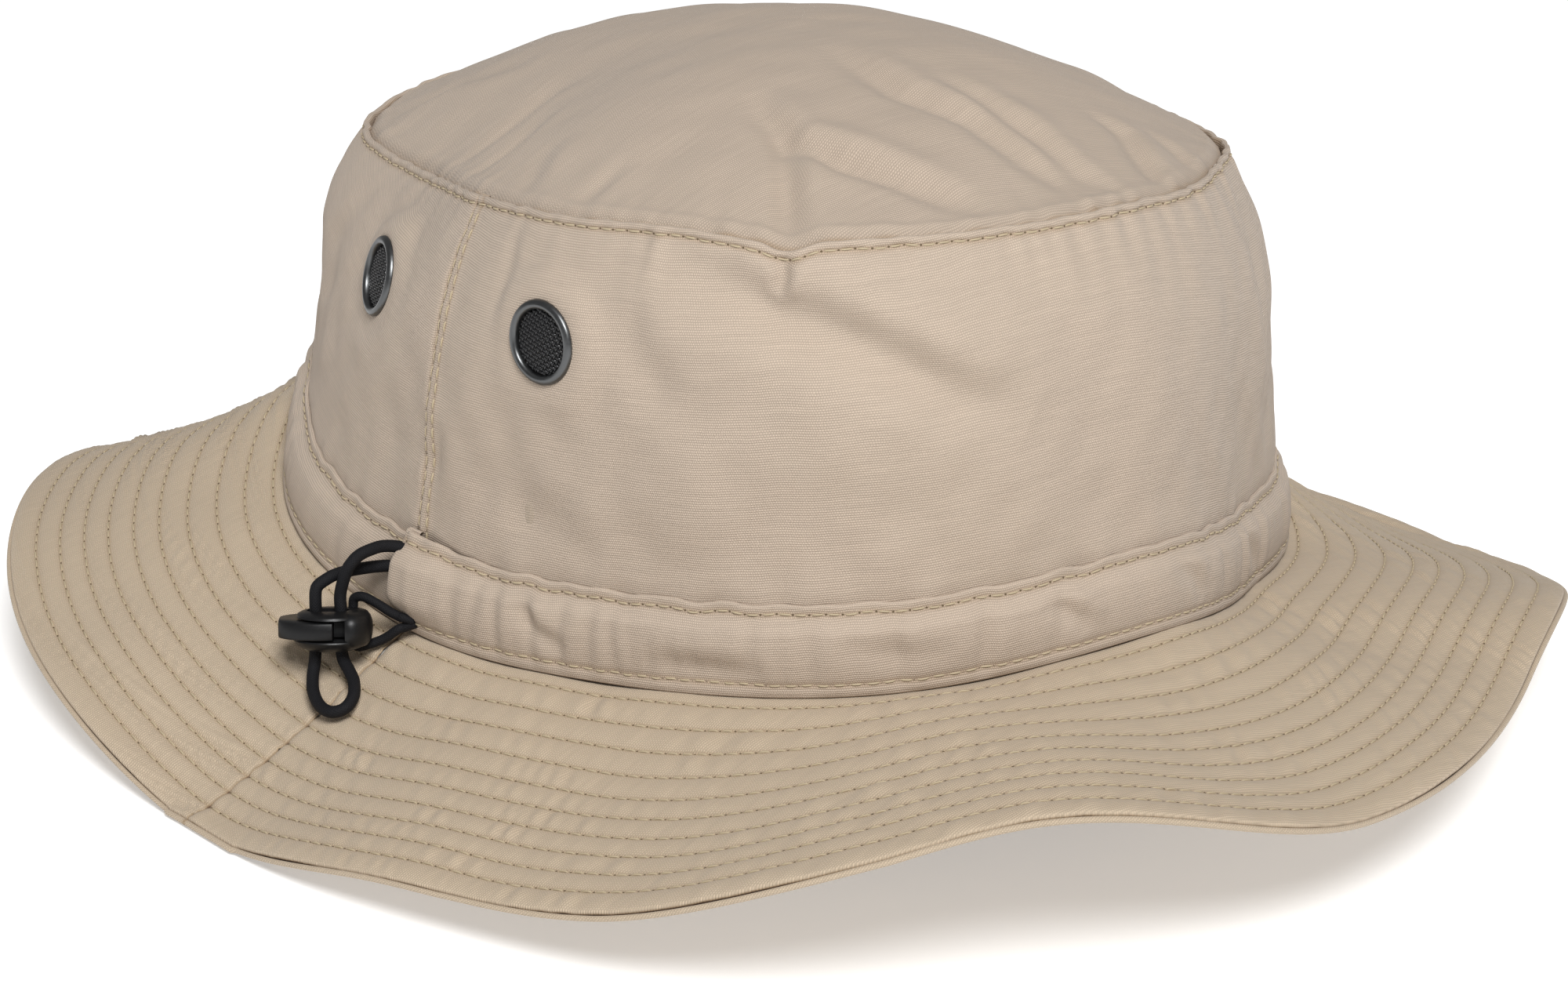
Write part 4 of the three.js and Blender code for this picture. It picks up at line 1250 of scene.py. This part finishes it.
def loft(name, rings, middle=0.0, flat_end=None):
    """A closed body from rings of (height, half length, half width), cut flat at one end if asked."""
    turn = circle(LOCK_SIDES)
    local = []
    for height, half_length, half_width in rings:
        x = middle + half_length * np.cos(turn)
        if flat_end is not None:
            x = np.maximum(x, flat_end + 0.02 * abs(height))
        local.append(np.stack([x, half_width * np.sin(turn), np.full(LOCK_SIDES, height)], -1))
    vertices = np.concatenate(local) @ LOCK_AXES + LOCK_AT
    return make_mesh(name, vertices, tube_faces(len(rings), LOCK_SIDES), body=None)


def block(name, low, high):
    """A box between two corners, in the lock's own directions."""
    corners = np.array(list(itertools.product(*zip(low, high))))
    faces = np.array([[0, 1, 3, 2], [4, 6, 7, 5], [0, 4, 5, 1], [2, 3, 7, 6], [0, 2, 6, 4], [1, 5, 7, 3]])
    return make_mesh(name, corners @ LOCK_AXES + LOCK_AT, [faces], body=None)


def rod(name, x, y, radius):
    """A round rod along the cord's direction."""
    thing = loft(name, [(-CORD_WAY, radius, radius), (CORD_WAY, radius, radius)])
    shift = (np.array([x, y, 0]) @ LOCK_AXES) * MM
    thing.data.transform(Matrix.Translation(Vector(shift)))
    return thing


def apply_modifiers(thing):
    bpy.context.view_layer.update()
    shaped = thing.evaluated_get(bpy.context.evaluated_depsgraph_get())
    thing.data = bpy.data.meshes.new_from_object(shaped)
    thing.modifiers.clear()


def combine(target, others, operation):
    """Joins other bodies to target or cuts them out of it, and removes them."""
    for other in others:
        modifier = target.modifiers.new("combine", "BOOLEAN")
        modifier.operation = operation
        modifier.solver = "EXACT"
        modifier.object = other
    apply_modifiers(target)
    for other in others:
        bpy.data.objects.remove(other)


def finish_moulding(thing, body, node):
    """Softens a moulded piece's edges and gives it its material."""
    bevel = thing.modifiers.new("soft edges", "BEVEL")
    bevel.width = 0.14 * MM
    bevel.segments = 2
    bevel.limit_method = "ANGLE"
    bevel.angle_limit = math.radians(50)
    apply_modifiers(thing)
    thing.data.shade_smooth()
    thing.data.set_sharp_from_angle(angle=math.radians(32))
    thing.data.materials.clear()
    thing.data.materials.append(LOCK_PLASTIC)
    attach(thing, body)
    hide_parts(node)


# the lock's outlines: height along the cord, half length along the press and half width
SAUCER = [
    (-4.0, 3.9, 3.1), (-3.9, 4.6, 3.7), (-3.5, 5.6, 4.6),
    (-2.8, 6.6, 5.5), (-2.1, 7.0, 5.8), (-1.85, 6.9, 5.7),
]
UPPER_SHELL = [
    (2.05, 6.2, 5.3), (2.2, 6.4, 5.5), (2.6, 6.2, 5.3), (2.95, 5.6, 4.7), (3.2, 4.7, 3.8), (3.3, 3.9, 3.0),
]
CLOSED_END = [
    (-3.3, 2.2, 3.0), (-3.0, 2.9, 4.0), (-2.3, 3.4, 4.8), (-1.2, 3.7, 5.2), (0, 3.8, 5.3),
    (1.2, 3.7, 5.2), (2.2, 3.4, 4.8), (2.9, 2.9, 4.0), (3.2, 2.2, 3.0),
]
PADDLE = [
    (-1.6, 8.2, 4.9), (-1.45, 8.6, 5.3), (-1.0, 8.8, 5.5), (1.0, 8.8, 5.5), (1.6, 8.6, 5.3), (1.8, 8.2, 4.9),
]
STRAND_HOLE = 1.6
TETHER_HOLE = 1.15


def add_lock_body():
    """A saucer below, a thin dished shell above, and a rounded end that joins them."""
    body = loft("lock_body_moulded", SAUCER, 0.9)
    combine(body, [loft("upper_shell", UPPER_SHELL, 0.9), loft("closed_end", CLOSED_END, 4.75)], "UNION")
    holes = [
        block("slot_cut", (-THROUGH, -THROUGH, -1.8), (3.9, THROUGH, 2.0)),
        block("pocket", (3, -2.3, -1.7), (6.6, 2.3, 1.7)),
        rod("strand_a_hole", STRAND_A, 0, STRAND_HOLE),
        rod("strand_b_hole", STRAND_B, 0, STRAND_HOLE),
        block("between_strands", (STRAND_B, -STRAND_HOLE, -CORD_WAY), (STRAND_A, STRAND_HOLE, CORD_WAY)),
        rod("tether_hole", 4.6, 3.75, TETHER_HOLE),
    ]
    combine(body, holes, "DIFFERENCE")
    finish_moulding(body, "cord_lock", "lock_body")


def add_plunger():
    """A thick paddle with a flat end to press, and a tongue that runs into the body."""
    plunger = loft("lock_plunger_moulded", PADDLE, -0.7, flat_end=-8.6)
    behind = block("behind_paddle", (1.6, -THROUGH, -THROUGH), (12, THROUGH, THROUGH))
    combine(plunger, [behind], "DIFFERENCE")
    combine(plunger, [block("tongue", (1, -2, -1.4), (4.9, 2, 1.4))], "UNION")
    window = block("window", (-4.75, -1.45, -THROUGH), (4.15, 1.45, THROUGH))
    combine(plunger, [window], "DIFFERENCE")
    finish_moulding(plunger, "plunger", "lock_plunger")


def add_spring():
    """The coil behind the plunger's nose, which shortens as the plunger is pressed."""
    seat, length, turns, coil_radius, wire = 7.15, 2.0, 2.5, 1.05, 0.16
    place = np.linspace(0, 1, 81)
    turn = 2 * np.pi * turns * place
    along = seat - length * (1 - place)
    local = np.stack([along, coil_radius * np.cos(turn), coil_radius * np.sin(turn)], 1)
    vertices, *faces = tube_mesh(LOCK_AT + local @ LOCK_AXES, wire, 10)
    spring = make_mesh(
        "lock_spring_wire", vertices, faces, body="cord_lock", material=SPRING_STEEL
    )
    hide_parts("lock_spring")
    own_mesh(spring)


# ---------------------------------------------------------------- linings and hidden pieces

def add_lining(node, columns, share, depth, thickness, ring=False, bulge=0.0):
    """A flat strip of cloth behind the wall: its outer face lies at this depth from the wall's outside."""
    degrees, rows = np.meshgrid(columns, share, indexing="ij")
    face = wall_surface(degrees, rows)
    inward = -outwards(degrees)
    middle = np.sin(np.pi * np.linspace(0, 1, len(share)))[None, :, None] * bulge
    ripple = 0.1 * wave(degrees * PER_DEGREE, 5, 11, 71)[..., None]
    outer = face + inward * (depth + 0.1 + ripple)
    inner = face + inward * (depth + thickness + middle + 0.1 + ripple)
    edge_up = 0.5 * (outer[:, -1] + inner[:, -1]) + UP * 0.25
    edge_down = 0.5 * (outer[:, 0] + inner[:, 0]) - UP * 0.25
    points = np.concatenate([outer, edge_up[:, None], inner[:, ::-1], edge_down[:, None]], 1)
    height = np.concatenate([share, [share[-1]], share[::-1], [share[0]]]) * WALL_HEIGHT
    uv = np.stack(np.broadcast_arrays(columns[:, None] * PER_DEGREE, height), -1) * MM
    faces = strip_faces(*points.shape[:2], ring)
    piece = make_mesh(f"{node}_cloth", points, [faces], uv=uv, material=LINING_CLOTH)
    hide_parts(node)


def add_interlining(around):
    """The stiff layer between the brim's two layers of cloth."""
    share = np.concatenate([np.linspace(0.03, 0.96, 40), np.linspace(0.96, 0.03, 40)])
    drop = np.repeat([1.2, 1.4], 40)
    degrees, rows = np.meshgrid(around, share, indexing="ij")
    points = brim(degrees, rows, drop)
    faces = strip_faces(*points.shape[:2], True)[:, ::-1]
    uv = (points[..., :2] - HEAD_AXIS) * MM
    name = "brim_interlining_cloth"
    piece = make_mesh(name, points, [faces], uv=uv, material=INTERLINING)
    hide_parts("brim_interlining")


def add_hidden_run(half, degrees, share, offset):
    """The drawcord where it runs inside the band."""
    centres = crown(degrees, share, offset)
    node = f"drawcord_{half}_run"
    braided_tube(f"{node}_cord", centres, CORD_RADIUS, 16, node, body="hat")


def add_hidden_pieces():
    around = np.linspace(0, 360, 480, endpoint=False)
    add_lining("sweatband", around, np.linspace(0.03, 0.38, 20), 1.1, 0.8, ring=True, bulge=0.5)
    add_lining("crown_seam_tape", around, np.linspace(0.92, 0.965, 6), 1.9, 0.5, ring=True)
    for side, middle in (("right", -SIDE_SEAM), ("left", SIDE_SEAM)):
        columns = np.linspace(middle - TAPE_HALF_WIDTH, middle + TAPE_HALF_WIDTH, 14)
        add_lining(f"side_seam_tape_{side}", columns, np.linspace(0.42, 0.9, 60), 1.0, 0.5)
    add_interlining(around)
    near = np.linspace(-88.2, 88, 200)
    rise = bell(near + SIDE_SEAM, 6)
    add_hidden_run("front", near, 0.1 + 0.082 * rise, -0.7 + 1.8 * rise)
    near = np.linspace(-91.5, -268, 200)
    add_hidden_run("back", near, 0.1 - 0.035 * flap_end(near), -0.7)


# ---------------------------------------------------------------- stage

def add_floor(half_size=4.0):
    """A white floor that glows a little, so that it shows as white as the room behind it."""
    mesh = bpy.data.meshes.new("floor")
    corners = [(x * half_size, y * half_size, 0) for x, y in ((-1, -1), (1, -1), (1, 1), (-1, 1))]
    mesh.from_pydata(corners, [], [(0, 1, 2, 3)])
    floor = bpy.data.objects.new("floor", mesh)
    floor.location.z = -0.0002
    bpy.context.scene.collection.objects.link(floor)
    n = Nodes("floor_white")
    n.set(Base_Color=(0.9, 0.9, 0.9), Roughness=0.9, Specular_IOR_Level=0.1)
    mesh.materials.append(n.set(Emission_Color=(1.0, 1.0, 1.0), Emission_Strength=0.34))


def add_world():
    world = bpy.data.worlds.new("studio")
    world.use_nodes = True
    background = world.node_tree.nodes["Background"]
    background.inputs["Color"].default_value = (1, 1, 1, 1)
    background.inputs["Strength"].default_value = 0.22
    bpy.context.scene.world = world


def add_key_light(azimuth=-30, elevation=50, distance=3.0):
    """One round soft light, high in front of the hat and a little to the wearer's right."""
    light = bpy.data.lights.new("key_light", "AREA")
    light.shape = "DISK"
    light.size = 1.2
    light.energy = 91
    lamp = bpy.data.objects.new("key_light", light)
    a, e = math.radians(azimuth), math.radians(elevation)
    back = Vector((math.sin(a) * math.cos(e), -math.cos(a) * math.cos(e), math.sin(e)))
    lamp.location = back * distance + Vector((0, 0, 0.06))
    lamp.rotation_mode = "QUATERNION"
    lamp.rotation_quaternion = back.to_track_quat("Z", "Y")
    bpy.context.scene.collection.objects.link(lamp)


def add_stage():
    add_floor()
    add_world()
    add_key_light()
    bpy.context.scene.view_settings.view_transform = "Standard"
    bpy.context.scene.view_settings.look = "None"


# ---------------------------------------------------------------- assembly

add_cords()
add_wall("front", -SIDE_SEAM + 0.001, SIDE_SEAM - 0.001, FRONT_EDGE)
add_wall("back", SIDE_SEAM + 0.02, 360 - SIDE_SEAM - 0.02, BACK_EDGE)
add_top_panel()
add_band("front", -90.5, 90)
add_band("back", 90, 269.4)
add_brim("front", -90, 90)
add_brim("back", 90, 270)
add_all_stitches()
add_eyelets()
add_lock_body()
add_plunger()
add_hidden_pieces()
add_spring()
add_stage()
